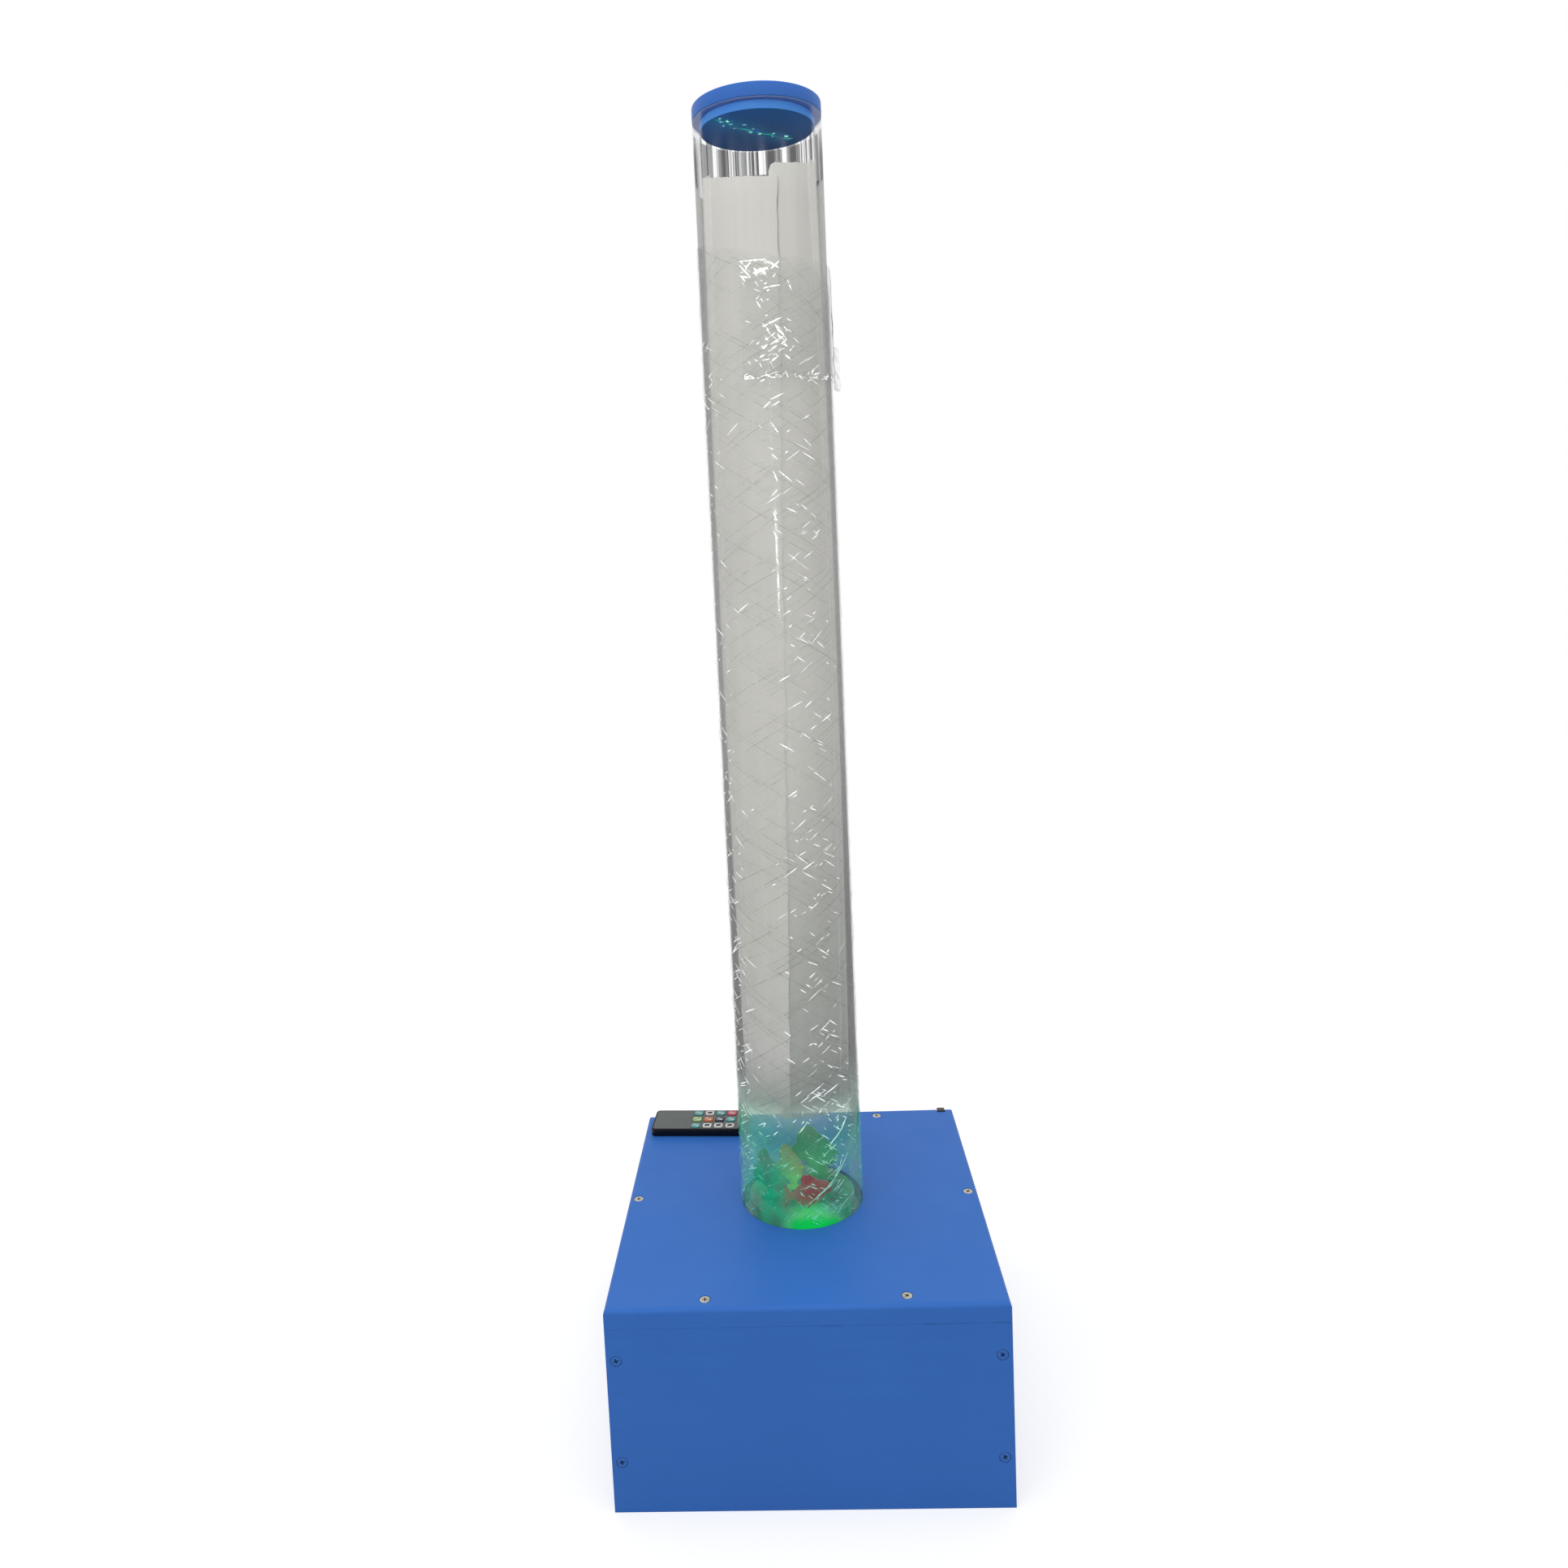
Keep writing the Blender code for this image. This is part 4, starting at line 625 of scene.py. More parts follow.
def clear_acrylic(colours, streak_low, streak_high, rim, foot):
    """The clear tube: gloss, a grey edge of painted shade, the milky sheet painted near that edge as
    a painted refraction, upright dark streaks at the back of its open band, also a painted
    refraction, a pale rim, and the lamp's light gathered at its foot."""
    finish = Finish("Clear acrylic tube")
    x, y, z = finish.parts(finish.place())
    ring, round_way, _ = foot_ring(finish, x, y, z, foot)
    facing = finish.facing()
    reach = finish.maths('SQRT', x ** 2.0 + y ** 2.0)
    # The wall's grey edge, a painted shade, on its outer side only and weaker in the glow and at the
    # rim
    outside = finish.step(reach, 0.0470, 0.0480)
    above = clear_of(finish, z, foot, 0.03) * outside
    above = above * finish.step(z, rim - 0.024, rim - 0.010, 1.0, 0.4)
    edge = finish.step(facing, 0.55, 0.64) * above
    # The milky sheet's colour painted on the wall near its edge, a painted refraction that makes the
    # sheet look wider
    sheet_top = finish.step(x, -0.01, 0.01, streak_low - 0.003, streak_low + 0.005)
    backed = finish.step(z, foot + 0.086, foot + 0.120) * finish.fall(
        z - sheet_top, -0.001, 0.001)
    painted_sheet_view = finish.step(facing, 0.42, 0.49) * (1 - edge) * outside * backed
    # Upright dark bars at the back of the open band, a painted refraction
    band = finish.step(z, streak_low, streak_low + 0.004) * finish.step(y, 0.002, 0.008)
    band = band * finish.fall(z, streak_high - 0.001, streak_high)
    painted_refraction_bars = finish.noise(finish.joined(round_way, 0.0, 0.4), 5.0, 3, 0.7)
    painted_refraction_bars = finish.step(painted_refraction_bars, 0.47, 0.52) * band
    # The rim, palest at its outer corner
    outer = finish.step(reach, 0.0493, 0.0496)
    pale_rim = finish.step(z, rim - 0.0006, rim - 0.0003) * (outer * 0.85 + 0.15)
    fine = finish.noise(finish.joined(round_way * 0.05, z * 0.03), 420, 2)
    # Painted shade: the grey edge darker toward the foot
    lower_edge_shade = finish.fall(z, 0.34, 0.62)
    gloss = (outside * 0.007 + 0.002) * clear_of(finish, z, foot, 0.06)
    share = edge * (lower_edge_shade * 0.22 + 0.47) + painted_sheet_view * 0.74 + painted_refraction_bars * 0.66 + ring * 0.24 + gloss
    share = finish.maths('MINIMUM', finish.maths('MAXIMUM', share, pale_rim * 0.6), 1.0)
    bare = gloss / share
    shade = finish.mixed(lower_edge_shade, colours.painted_edge_shade, shade_of(78, 84, 80))
    # The sheet's colour as painted on the wall, darkened, with its painted shade
    sheet = liner_with_painted_shade(finish, times(colours.liner, 0.88), z, x > 0.0)
    shade = finish.mixed(edge, sheet, shade)
    shade = finish.mixed(finish.maths('MAXIMUM', edge, painted_sheet_view), (0.95, 0.95, 0.95), shade)
    shade = finish.mixed(ring, shade, (0.01, 0.08, 0.03))
    shade = finish.mixed(painted_refraction_bars * (1 - edge), shade, shade_of(80, 79, 77))
    shade = finish.mixed(pale_rim, shade, shade_of(150, 162, 180))
    glow = finish.mixed(ring, (0, 0, 0), colours.glow)
    return finish.done(finish.clear(share, finish.surface(
        Base_Color=shade, Metallic=bare, Roughness=0.35 - bare * 0.3,
        Specular_IOR_level=0.2, Emission_Color=glow, Emission_Strength=0.8,
        Normal=finish.bump(fine, 0.00006, 0.4))))


def crease_lines(finish, across, up, pitch, width, angle, seed):
    """Slanting creases at uneven distances, each of its own strength, broken along its length."""
    climb = math.tan(angle)
    wander = finish.noise(finish.joined(across, up, seed), 22, 2) - 0.5
    row = (up - across * climb) / pitch + wander * 0.5 + seed
    number = finish.maths('FLOOR', row)
    offset = finish.chance(number + seed * 3.1) * 0.6 + 0.2
    distance = abs(row - number - offset) * (pitch * math.cos(angle))
    line = finish.fall(distance, width * 0.2, width * 0.62)
    strength = finish.chance(number * 1.37 + seed)
    along = (across + up * climb) / pitch
    pieces = finish.noise(finish.joined(along * 0.45, number * 3.7, seed), 1.0, 3, 0.6)
    return line * strength * finish.step(pieces, 0.36, 0.58)


def stretch_film(sizes, colours, width, height, foot):
    """Clear film, finely creased, and misty with the lamp's light near its foot."""
    finish = Finish("Stretch film")
    across, up = finish.on_sheet(width, height)
    x, y, z = finish.parts(finish.place())
    pitch, line, angle = sizes.crease_pitch, sizes.crease_width, sizes.crease_angle
    creases = crease_lines(finish, across, up, pitch * 0.8, line * 0.8, angle, 1.3)
    for closer, thinner, slope, seed in ((0.93, 0.7, -angle * 0.9, 5.7),
                                         (0.57, 0.6, angle * 1.2, 9.1)):
        more = crease_lines(finish, across, up, pitch * closer, line * thinner, slope, seed)
        creases = finish.maths('MAXIMUM', creases, more)
    bunch = finish.noise(finish.joined(across, up * 0.6), 46, 4, 0.6, 0.4)
    haze = finish.noise(finish.joined(across, up, 3.0), 16, 3)
    facing = finish.facing()
    # Painted shade: the grey where the film is seen edge on
    edge = finish.step(facing, 0.50, 0.70) * clear_of(finish, z, foot, 0.03)
    ring, round_way, cloud = foot_ring(finish, x, y, z, foot)
    veil = foot_veil(finish, z, foot, round_way, cloud)
    # A milky band low on the film, green low down as painted lamp light
    hazy = finish.step(z, foot + 0.036, foot + 0.072) * finish.fall(
        z, foot + 0.098, foot + 0.150) * (haze * 0.6 + 0.7)
    gloss = haze * 0.008 + creases * 0.02 + 0.011
    gloss = gloss * clear_of(finish, z, foot, 0.06)
    share = creases * 0.07 + haze * 0.02 + edge * 0.12 + veil * 0.24 + ring * 0.20
    share = share + hazy * 0.22 + gloss
    bare = gloss / share
    height_map = creases * 0.7 + bunch * 0.22
    shade = finish.mixed(edge, colours.film_grey, colours.painted_edge_shade)
    # The band's colour: green near the foot as painted lamp light, pale above
    haze_with_painted_glow = finish.mixed(finish.step(z, foot + 0.075, foot + 0.100), shade_of(78, 138, 116),
                         shade_of(180, 194, 184))
    shade = finish.mixed(hazy, shade, haze_with_painted_glow)
    shade = finish.mixed(finish.maths('MAXIMUM', veil * (1 - hazy), ring), shade,
                         (0.01, 0.06, 0.05))
    glow = finish.mixed(veil, (0, 0, 0), colours.mist)
    glow = finish.mixed(ring, glow, colours.glow)
    return finish.done(finish.clear(share, finish.surface(
        Base_Color=shade, Metallic=bare, Roughness=creases * 0.16 + 0.07,
        Specular_IOR_level=0.3, Emission_Color=glow, Emission_Strength=0.72,
        Normal=finish.bump(height_map, 0.0009, 0.8))))


def crease_gloss(name, colour, share, low_share, colours, foot, painted_glint):
    """A crease of the film, as a fine glossy thread that breaks up along its length; it shows
    more toward the foot, and is painted green with the lamp's light there. Above the foot it
    glows white by the given strength, a painted glint."""
    finish = Finish(name)
    x, y, z = finish.parts(finish.place())
    broken = finish.noise(finish.joined(x, y, z), 330, 3, 0.6)
    low = finish.fall(z, foot + 0.05, foot + 0.12)
    shade = finish.mixed(low * 0.5, colour, colours.mist)
    glow = finish.mixed(low, (painted_glint, painted_glint, painted_glint),
                        tuple(part * 0.3 + painted_glint * 0.4 for part in colours.mist))
    share = finish.step(z, 0.34, 0.58, low_share, share)
    share = share * finish.step(broken, 0.36, 0.54, 0.12, 1.0)
    return finish.done(finish.clear(share, finish.surface(
        Base_Color=shade, Metallic=1.0, Roughness=broken * 0.15 + 0.1,
        Emission_Color=glow, Emission_Strength=1.0)))


def clear_tape(colours, low):
    """Clear tape, milky along its crinkled lower edge, and grey as painted shade where it is seen
    edge on.
    """
    finish = Finish("Clear tape")
    x, y, z = finish.parts(finish.place())
    lines = finish.noise(finish.joined(x, y, z), 120, 4, 0.65, 0.8)
    crowd = finish.fall(z, low + 0.002, low + 0.014) * 0.85 + 0.15
    ridges = finish.fall(abs(lines - 0.5), 0.008, 0.045) * crowd
    # Painted shade: the grey where the tape is seen edge on
    edge = finish.step(finish.facing(), 0.50, 0.80)
    gloss = ridges * 0.08 + 0.016
    share = ridges * 0.12 + edge * 0.16 + gloss + 0.035
    shade = finish.mixed(edge, colours.film_grey, shade_of(120, 120, 118))
    return finish.done(finish.clear(share, finish.surface(
        Base_Color=shade, Metallic=gloss / share, Roughness=ridges * 0.2 + 0.12,
        Specular_IOR_level=0.4, Normal=finish.bump(ridges, 0.0005, 0.6))))


def milky_liner(colours, width, height):
    """The milky sheet: fine upright streaks, and a painted shadow along the edge where its end laps.
    """
    finish = Finish("Milky liner")
    across, up = finish.on_sheet(width, height)
    streak = finish.noise(finish.joined(across, up * 0.02), 110, 4, 0.6)
    cloud = finish.noise(finish.joined(across, up), 12, 3)
    tone = streak * 0.6 + cloud * 0.4
    shade = finish.mottled(tone, colours.liner, 0.95, 1.0, 0.36, 0.64)
    z = finish.parts(finish.place())[2]
    # Painted shade toward the foot, most on the sheet's right
    shade = liner_with_painted_shade(finish, shade, z, finish.fall(across, 0.060, 0.110))
    # Painted shadow along the edge of the lapped end, broken along its height
    lap = finish.step(across, width - 0.0011, width - 0.0003)
    gaps = finish.step(finish.noise(finish.joined(z, 0.0, 0.0), 34, 2), 0.42, 0.58, 0.25, 0.85)
    shade = finish.mixed(lap * gaps * finish.step(z, 0.905, 0.945, 0.18, 1.0), shade,
                         shade_of(92, 90, 88))
    faded = finish.step(z + (cloud - 0.5) * 0.024, liner_low.z, liner_low.z + 0.016, 0.35, 1.0)
    return finish.done(finish.clear(faded, finish.surface(
        Base_Color=shade, Roughness=cloud * 0.2 + 0.45,
        Normal=finish.bump(streak, 0.0003, 0.35))))


def lit_disc(colours):
    """The frosted disc with the lamp's light coming through it."""
    finish = Finish("Frosted disc")
    x, y, _ = finish.parts(finish.place())
    ripple = finish.noise(finish.place(), 130, 4, 0.6, 0.5)
    cloud = finish.noise(finish.place(), 55, 3, 0.6)
    reach = finish.maths('SQRT', (x - 0.008) ** 2.0 + (y + 0.037) ** 2.0) + (ripple - 0.5) * 0.014
    bright = finish.fall(reach, 0.005, 0.026)
    side = finish.mottled(cloud, colours.glow_side, 0.12, 0.60, 0.35, 0.65)
    glow = finish.mixed(bright, side, colours.glow)
    return finish.done(finish.surface(
        Base_Color=shade_of(34, 92, 76), Roughness=ripple * 0.2 + 0.35,
        Emission_Color=glow, Emission_Strength=0.8,
        Normal=finish.bump(ripple, 0.0004, 0.5)))


def fish_plastic(name, colour, eyes):
    """Moulded plastic with scales pressed in, and an eye on each side."""
    finish = Finish(name)
    place = finish.place()
    scales = finish.node("TexVoronoi", {"feature": 'F1'}, {"Vector": place, "Scale": 340.0},
                         "Distance")
    cloud = finish.noise(place, 90, 3)
    shade = finish.mottled(cloud, colour, 0.78, 1.12)
    for eye in eyes:
        away = finish.node("VectorMath", {"operation": 'DISTANCE'}, {0: place, 1: tuple(eye)},
                           "Value")
        shade = finish.mixed(0.6 - finish.step(away, EYE, EYE * 1.2) * 0.6, shade,
                             shade_of(200, 208, 196))
        shade = finish.mixed(0.8 - finish.step(away, EYE * 0.5, EYE * 0.7) * 0.8, shade,
                             shade_of(24, 30, 28))
    return finish.done(finish.surface(
        Base_Color=shade, Roughness=0.3, Subsurface_Weight=0.12, Subsurface_Scale=0.004,
        Normal=finish.bump(scales, 0.0005, 0.5)))


def plug_paint(colours, underside):
    """Cap paint made about twice as bright as painted light, a darker blue underside as painted
    shade, and the lamp's light painted in a streak across the underside.
    """
    finish = Finish("Cap plug paint")
    place = finish.place()
    x, y, z = finish.parts(place)
    cloud = finish.noise(place, 30, 3)
    # Painted light: the cap paint made about twice as bright on the plug
    shade = finish.mottled(cloud, colours.cap_paint, 1.9, 2.2, most=0.95)
    drag = finish.noise(place, 60, 4, 0.6)
    slant = math.radians(42)
    along = x * math.cos(slant) + y * math.sin(slant)
    off = y * math.cos(slant) - x * math.sin(slant) + (drag - 0.5) * 0.012 - 0.001
    # Painted shade: a darker blue on the underside
    under = finish.fall(z, underside + 0.0002, underside + 0.0006)
    shade = finish.mixed(under, shade, shade_of(34, 108, 188))
    wide = finish.fall(abs(off), 0.002, 0.016)
    core = finish.fall(abs(off), 0.0003, 0.0016)
    ends = finish.fall(abs(along + 0.006), 0.030, 0.044)
    specks = finish.step(finish.noise(place, 240, 2), 0.60, 0.68) * finish.fall(
        abs(off), 0.002, 0.007)
    broken = finish.step(finish.noise(place, 130, 3), 0.40, 0.60, 0.15, 0.9)
    glow = finish.mixed(wide * ends * under, (0, 0, 0), (0.0, 0.024, 0.030))
    glow = finish.mixed(core * ends * under * broken, glow, (0.0, 0.34, 0.20))
    glow = finish.mixed(specks * ends * under, glow, (0.35, 1.0, 0.72))
    return finish.done(finish.surface(
        Base_Color=shade, Roughness=cloud * 0.12 + 0.38, Specular_IOR_level=0.06,
        Emission_Color=glow, Emission_Strength=1.0,
        Normal=finish.bump(finish.noise(place, 850, 2), 0.0001, 0.4)))


# ---------------------------------------------------------------- operators

class LampOperator(bpy.types.Operator):
    """One step of the build."""
    bl_options = {'REGISTER', 'UNDO'}

    def execute(self, context):
        self.sizes = context.scene.lamp_sizes
        self.colours = context.scene.lamp_colours
        self.build()
        clear_selection()
        return {'FINISHED'}


# The camera's place and its three axes, fitted to the photograph
CAMERA_PLACE = (0.0062, -0.92933, 0.69669)
CAMERA_RIGHT = (0.998260, 0.036836, -0.046047)
CAMERA_UP = (0.041991, 0.104179, 0.993672)
CAMERA_BACK = (0.041401, -0.993876, 0.102451)
CAMERA_LENS = 26.41
CAMERA_SHIFT = (0.0278, -0.0654)


class LAMP_OT_stage(LampOperator):
    """Set up the floor, the lights and the camera"""
    bl_idname = "lamp.stage"
    bl_label = "Stage"

    def build(self):
        self.make_floor()
        self.make_world()
        self.make_light("overhead", (0.0, -0.3, 2.6), (0, 0, 0.3), 1.8, 1.8, 22, False)
        self.make_light("front_left", (-1.3, -1.8, 1.35), (0, 0, 0.45), 1.0, 1.4, 6.5, False)
        self.make_light("by_camera", (0.065, -1.04, 0.719), (0, 0, 0.70), 0.05, 0.10, 0.95, True)
        self.make_camera()
        scene = bpy.context.scene
        scene.view_settings.view_transform = 'Standard'
        scene.cycles.transparent_max_bounces = 24

    def make_floor(self):
        """A pale floor that turns pure white farther off."""
        clear_selection()
        bpy.ops.mesh.primitive_grid_add(x_subdivisions=8, y_subdivisions=8, size=12)
        floor = settle("floor")
        finish = Finish("Floor white")
        seen = self.seen(finish)
        x, y, _ = finish.parts(finish.place())
        away = finish.maths('SQRT', x ** 2.0 + y ** 2.0)
        far = finish.step(away, 0.35, 1.5)
        matt = finish.node("BsdfDiffuse", sockets={"Color": (0.52, 0.52, 0.52, 1)})
        lift = finish.node("Emission", sockets={"Color": (1, 1, 1, 1), "Strength": seen * 0.58})
        near_look = finish.node("AddShader", sockets={0: matt, 1: lift})
        white = finish.node("Emission", sockets={"Color": (1, 1, 1, 1), "Strength": 1.0})
        floor.data.materials.append(finish.done(finish.node("MixShader", sockets={
            0: far * seen, 1: near_look, 2: white})))

    def seen(self, finish):
        """1 for what the camera sees, also in a mirror or through clear stuff."""
        path = finish.node("LightPath", out="Is Camera Ray")
        outputs = path.socket.node.outputs
        glossy = Wire(finish, outputs["Is Glossy Ray"])
        through = Wire(finish, outputs["Is Transmission Ray"])
        return finish.maths('MINIMUM', path + glossy + through, 1.0)

    def make_world(self):
        """A white room, a little dimmer as a light than as it looks."""
        world = bpy.data.worlds.new("Studio")
        bpy.context.scene.world = world
        world.use_nodes = True
        finish = Finish(tree=world.node_tree)
        seen = self.seen(finish)
        back = finish.node("Background", sockets={
            "Color": (1, 1, 1, 1), "Strength": seen * 0.38 + 0.62})
        output = finish.tree.nodes.new("ShaderNodeOutputWorld")
        finish.tree.links.new(back.socket, output.inputs["Surface"])

    def make_light(self, name, place, target, width, height, power, mirrored):
        """An oblong lamp that faces a target."""
        data = bpy.data.lights.new(name, 'AREA')
        data.shape = 'RECTANGLE'
        data.size = width
        data.size_y = height
        data.energy = power
        light = bpy.data.objects.new(name, data)
        bpy.context.collection.objects.link(light)
        light.location = place
        way = Vector(target) - Vector(place)
        light.rotation_euler = way.to_track_quat('-Z', 'Y').to_euler()
        light.visible_camera = False
        light.visible_glossy = mirrored

    def make_camera(self):
        """The camera that matches the photograph."""
        data = bpy.data.cameras.new("camera")
        data.lens = CAMERA_LENS
        data.sensor_width = 36
        data.shift_x, data.shift_y = CAMERA_SHIFT
        camera = bpy.data.objects.new("camera", data)
        bpy.context.collection.objects.link(camera)
        turn = Matrix((CAMERA_RIGHT, CAMERA_UP, CAMERA_BACK)).transposed().to_4x4()
        camera.matrix_world = Matrix.Translation(CAMERA_PLACE) @ turn
        bpy.context.scene.camera = camera


# A screw's cone, shank and length, and the cross cut into its head
SCREW_DEPTH = 0.0028
SCREW_SHANK = 0.0018
SCREW_LENGTH = 0.035
CROSS_LONG, CROSS_WIDE, CROSS_DEPTH = 0.0023, 0.00055, 0.0019
# Play between pieces that fit together, and how far a cutter reaches past a board
FIT = 0.0003
OVERRUN = 0.01
LEAD_HOLE = 0.0018
ALONG_Y = (math.pi / 2, 0, 0)


def screw_profile(head, clearance):
    """From the tip up to the head, as (radius, height)."""
    shank = SCREW_SHANK + clearance
    return [(0.0003, -SCREW_LENGTH - clearance), (shank, -SCREW_LENGTH + 0.004),
            (shank, -SCREW_DEPTH - clearance), (head + clearance, -0.0005 - clearance),
            (head + clearance, 0.0)]


def screw_places():
    """A matrix for each screw, by the CAD node that it replaces, or by a name."""
    places = {}
    for index in range(1, 7):
        low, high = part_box(f"top_screw_{index}")
        middle = (low + high) / 2
        places[f"top_screw_{index}"] = Matrix.Translation((middle.x, middle.y, high.z))
    for index in range(1, 5):
        low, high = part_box(f"front_screw_{index}")
        middle = (low + high) / 2
        tilt = Matrix.Rotation(math.pi / 2, 4, 'X')
        places[f"front_screw_{index}"] = Matrix.Translation((middle.x, low.y, middle.z)) @ tilt
        back = Matrix.Rotation(-math.pi / 2, 4, 'X')
        places[f"back_screw_{index}"] = Matrix.Translation((middle.x, -low.y, middle.z)) @ back
    return places


def screw_cutters(names, head):
    """Countersunk holes for these screws, open at the top."""
    shape = lathe("screw_hole", [*screw_profile(head, FIT), (head + FIT, 0.004)], 24)
    places = screw_places()
    cutters = [twin(shape, name + "_hole", places[name]) for name in names]
    bpy.data.objects.remove(shape, do_unlink=True)
    return cutters


class LAMP_OT_boards(LampOperator):
    """Build the painted boards of the box and its bare bottom board"""
    bl_idname = "lamp.boards"
    bl_label = "Boards"

    def build(self):
        paint = painted_board("Blue board paint", self.colours.paint, board_low.z - FIT / 2)
        self.make_top(paint)
        self.make_wall("base_front", paint, [f"front_screw_{index}" for index in range(1, 5)])
        self.make_wall("base_back", paint, [f"back_screw_{index}" for index in range(1, 5)])
        self.make_wall("base_left", paint)
        self.make_wall("base_right", paint)
        paint_nodes(bare_board("Bare board", self.colours.bare_wood), "base_bottom")

    def make_top(self, paint):
        """The top board, with the tube's hole, the receiver's pocket and the screws' holes."""
        piece = block("top_board", board_low, board_high)
        bevel_edges(lambda one, other: min(one.z, other.z) > board_high.z - 0.001,
                    self.sizes.top_round, 6)
        object_mode()
        hole = drum("tube_hole", tube_high.x + FIT * 3, board_low.z - OVERRUN,
                    board_high.z + OVERRUN, self.sizes.tube_sides)
        eye_low, eye_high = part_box("receiver_eye")
        floor = eye_low.z - FIT
        pocket = block("eye_pocket", (eye_low.x - FIT, eye_low.y - FIT, floor),
                       (eye_high.x + FIT, eye_high.y + 0.02, eye_high.z + OVERRUN))
        start = Vector(((eye_low.x + eye_high.x) / 2, (eye_low.y + eye_high.y) / 2, floor))
        inside = Vector((cad_high.x - 0.022, cad_high.y - 0.022, board_low.z))
        along = (inside - start).normalized()
        lead_hole = rod("lead_hole", LEAD_HOLE, (inside - start).length + OVERRUN, 16,
                        (start + inside) / 2 + along * 0.0035,
                        along.to_track_quat('Z', 'Y').to_euler())
        cutters = screw_cutters([f"top_screw_{index}" for index in range(1, 7)],
                                self.sizes.screw_head)
        cut_with(piece, [hole, pocket, lead_hole, *cutters])
        make_active(piece)
        soften(self.sizes.board_edge * 0.6)
        stand_in(piece, [paint], "base", "blue_paint", "base_top")

    def make_wall(self, name, paint, screws=()):
        """One side of the box, a hair under the top board."""
        low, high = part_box(name)
        high = Vector((high.x, high.y, board_low.z - 0.00005))
        piece = block(name.replace("base_", "") + "_board", low, high)
        if screws:
            cut_with(piece, screw_cutters(screws, self.sizes.screw_head))
        if name == "base_back":
            cut_with(piece, self.back_cutters())
        make_active(piece)
        soften(self.sizes.board_edge)
        stand_in(piece, [paint], "base", "blue_paint", name)

    def back_cutters(self):
        """The holes of the air vents, the inlet and the switch."""
        pitch, across, middle_y, height = 0.012, -0.062, 0.1405, 0.110
        cutters = [rod("vent_hole", 0.003, 0.03, 32,
                       ((index - 2) * pitch + across, middle_y, height), ALONG_Y)
                   for index in range(5)]
        low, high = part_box("dc_inlet")
        middle, flange, proud = (low + high) / 2, (high.x - low.x) / 2, 0.004
        for radius, reach in ((flange + FIT, 0.002 + FIT), (flange * 2 / 3 + FIT, 0.03)):
            cutters.append(rod("inlet_hole", radius, proud + reach, 48,
                               (middle.x, high.y + (proud - reach) / 2, middle.z), ALONG_Y))
        low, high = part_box("switch_body")
        recess, lip = 0.0048, 0.0012
        cutters.append(block("switch_recess", (low.x - FIT, cad_high.y - recess, low.z - FIT),
                             (high.x + FIT, cad_high.y + OVERRUN, high.z + FIT)))
        cutters.append(block("switch_hole", (low.x + lip - FIT, 0.12, low.z + lip - FIT),
                             (high.x - lip + FIT, 0.16, high.z - lip + FIT)))
        return cutters


class LAMP_OT_screws(LampOperator):
    """Build the countersunk cross-head screws"""
    bl_idname = "lamp.screws"
    bl_label = "Screws"

    def build(self):
        steel = plated("Zinc plated steel", self.colours.zinc)
        # Painted shade in the cross recesses: near black on the plated heads, and the paint at 45
        # percent on the painted heads
        dark = moulded("Dark recess", shade_of(34, 32, 30), 0.6)
        painted = painted_screw("Painted screw head", self.colours.paint)
        painted_recess_shade = painted_screw("Painted recess", times(self.colours.paint, 0.45))
        model = lathe("screw", screw_profile(self.sizes.screw_head, 0.0), 32)
        make_active(model)
        bevel_edges(lambda one, other: min(one.z, other.z) > -0.0001, 0.0003, 2)
        object_mode()
        cutters = []
        for long_x, long_y in ((CROSS_LONG, CROSS_WIDE), (CROSS_WIDE, CROSS_LONG)):
            cutter = block("recess", (-long_x, -long_y, -CROSS_DEPTH), (long_x, long_y, 0.001))
            pick('FACE', lambda middle, normal: normal.z < -0.5)
            resize((0.55, 0.55, 1), (0, 0, -CROSS_DEPTH))
            object_mode()
            cutters.append(cutter)
        cut_with(model, cutters)
        model.data.materials.append(steel)
        model.data.materials.append(dark)
        model.active_material_index = 1
        # The cross recess takes the painted shade
        pick('FACE', lambda middle, normal: -CROSS_DEPTH - 0.0002 < middle.z < -0.0004
             and middle.xy.length < CROSS_LONG)
        bpy.ops.object.material_slot_assign()
        object_mode()
        smooth(35)
        for index, (name, place) in enumerate(screw_places().items()):
            turn = Matrix.Rotation(index * 0.83, 4, 'Z')
            screw = twin(model, name.replace("_screw_", "_countersunk_"), place @ turn)
            slot = "zinc_steel"
            if not name.startswith("top"):
                screw.data.materials[0] = painted
                screw.data.materials[1] = painted_recess_shade
                slot = "blue_paint"
            nodes = [name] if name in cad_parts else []
            stand_in(screw, [], "base", slot, *nodes)
        bpy.data.objects.remove(model, do_unlink=True)


class LAMP_OT_tube(LampOperator):
    """Build the clear tube"""
    bl_idname = "lamp.tube"
    bl_label = "Clear tube"

    def build(self):
        radius = tube_high.x
        piece = drum("clear_tube", radius, tube_low.z, tube_high.z, self.sizes.tube_sides)
        pick('FACE', lambda middle, normal: abs(normal.z) > 0.9)
        bpy.ops.mesh.inset(thickness=self.sizes.tube_wall)
        bpy.ops.mesh.bridge_edge_loops()
        bevel_edges(level, 0.0003, 2)
        smooth(40)
        acrylic = clear_acrylic(self.colours, liner_high.z - 0.02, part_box("cap_plug")[0].z + 0.002,
                                tube_high.z, board_high.z)
        stand_in(piece, [acrylic], "base", "clear_acrylic", "tube")


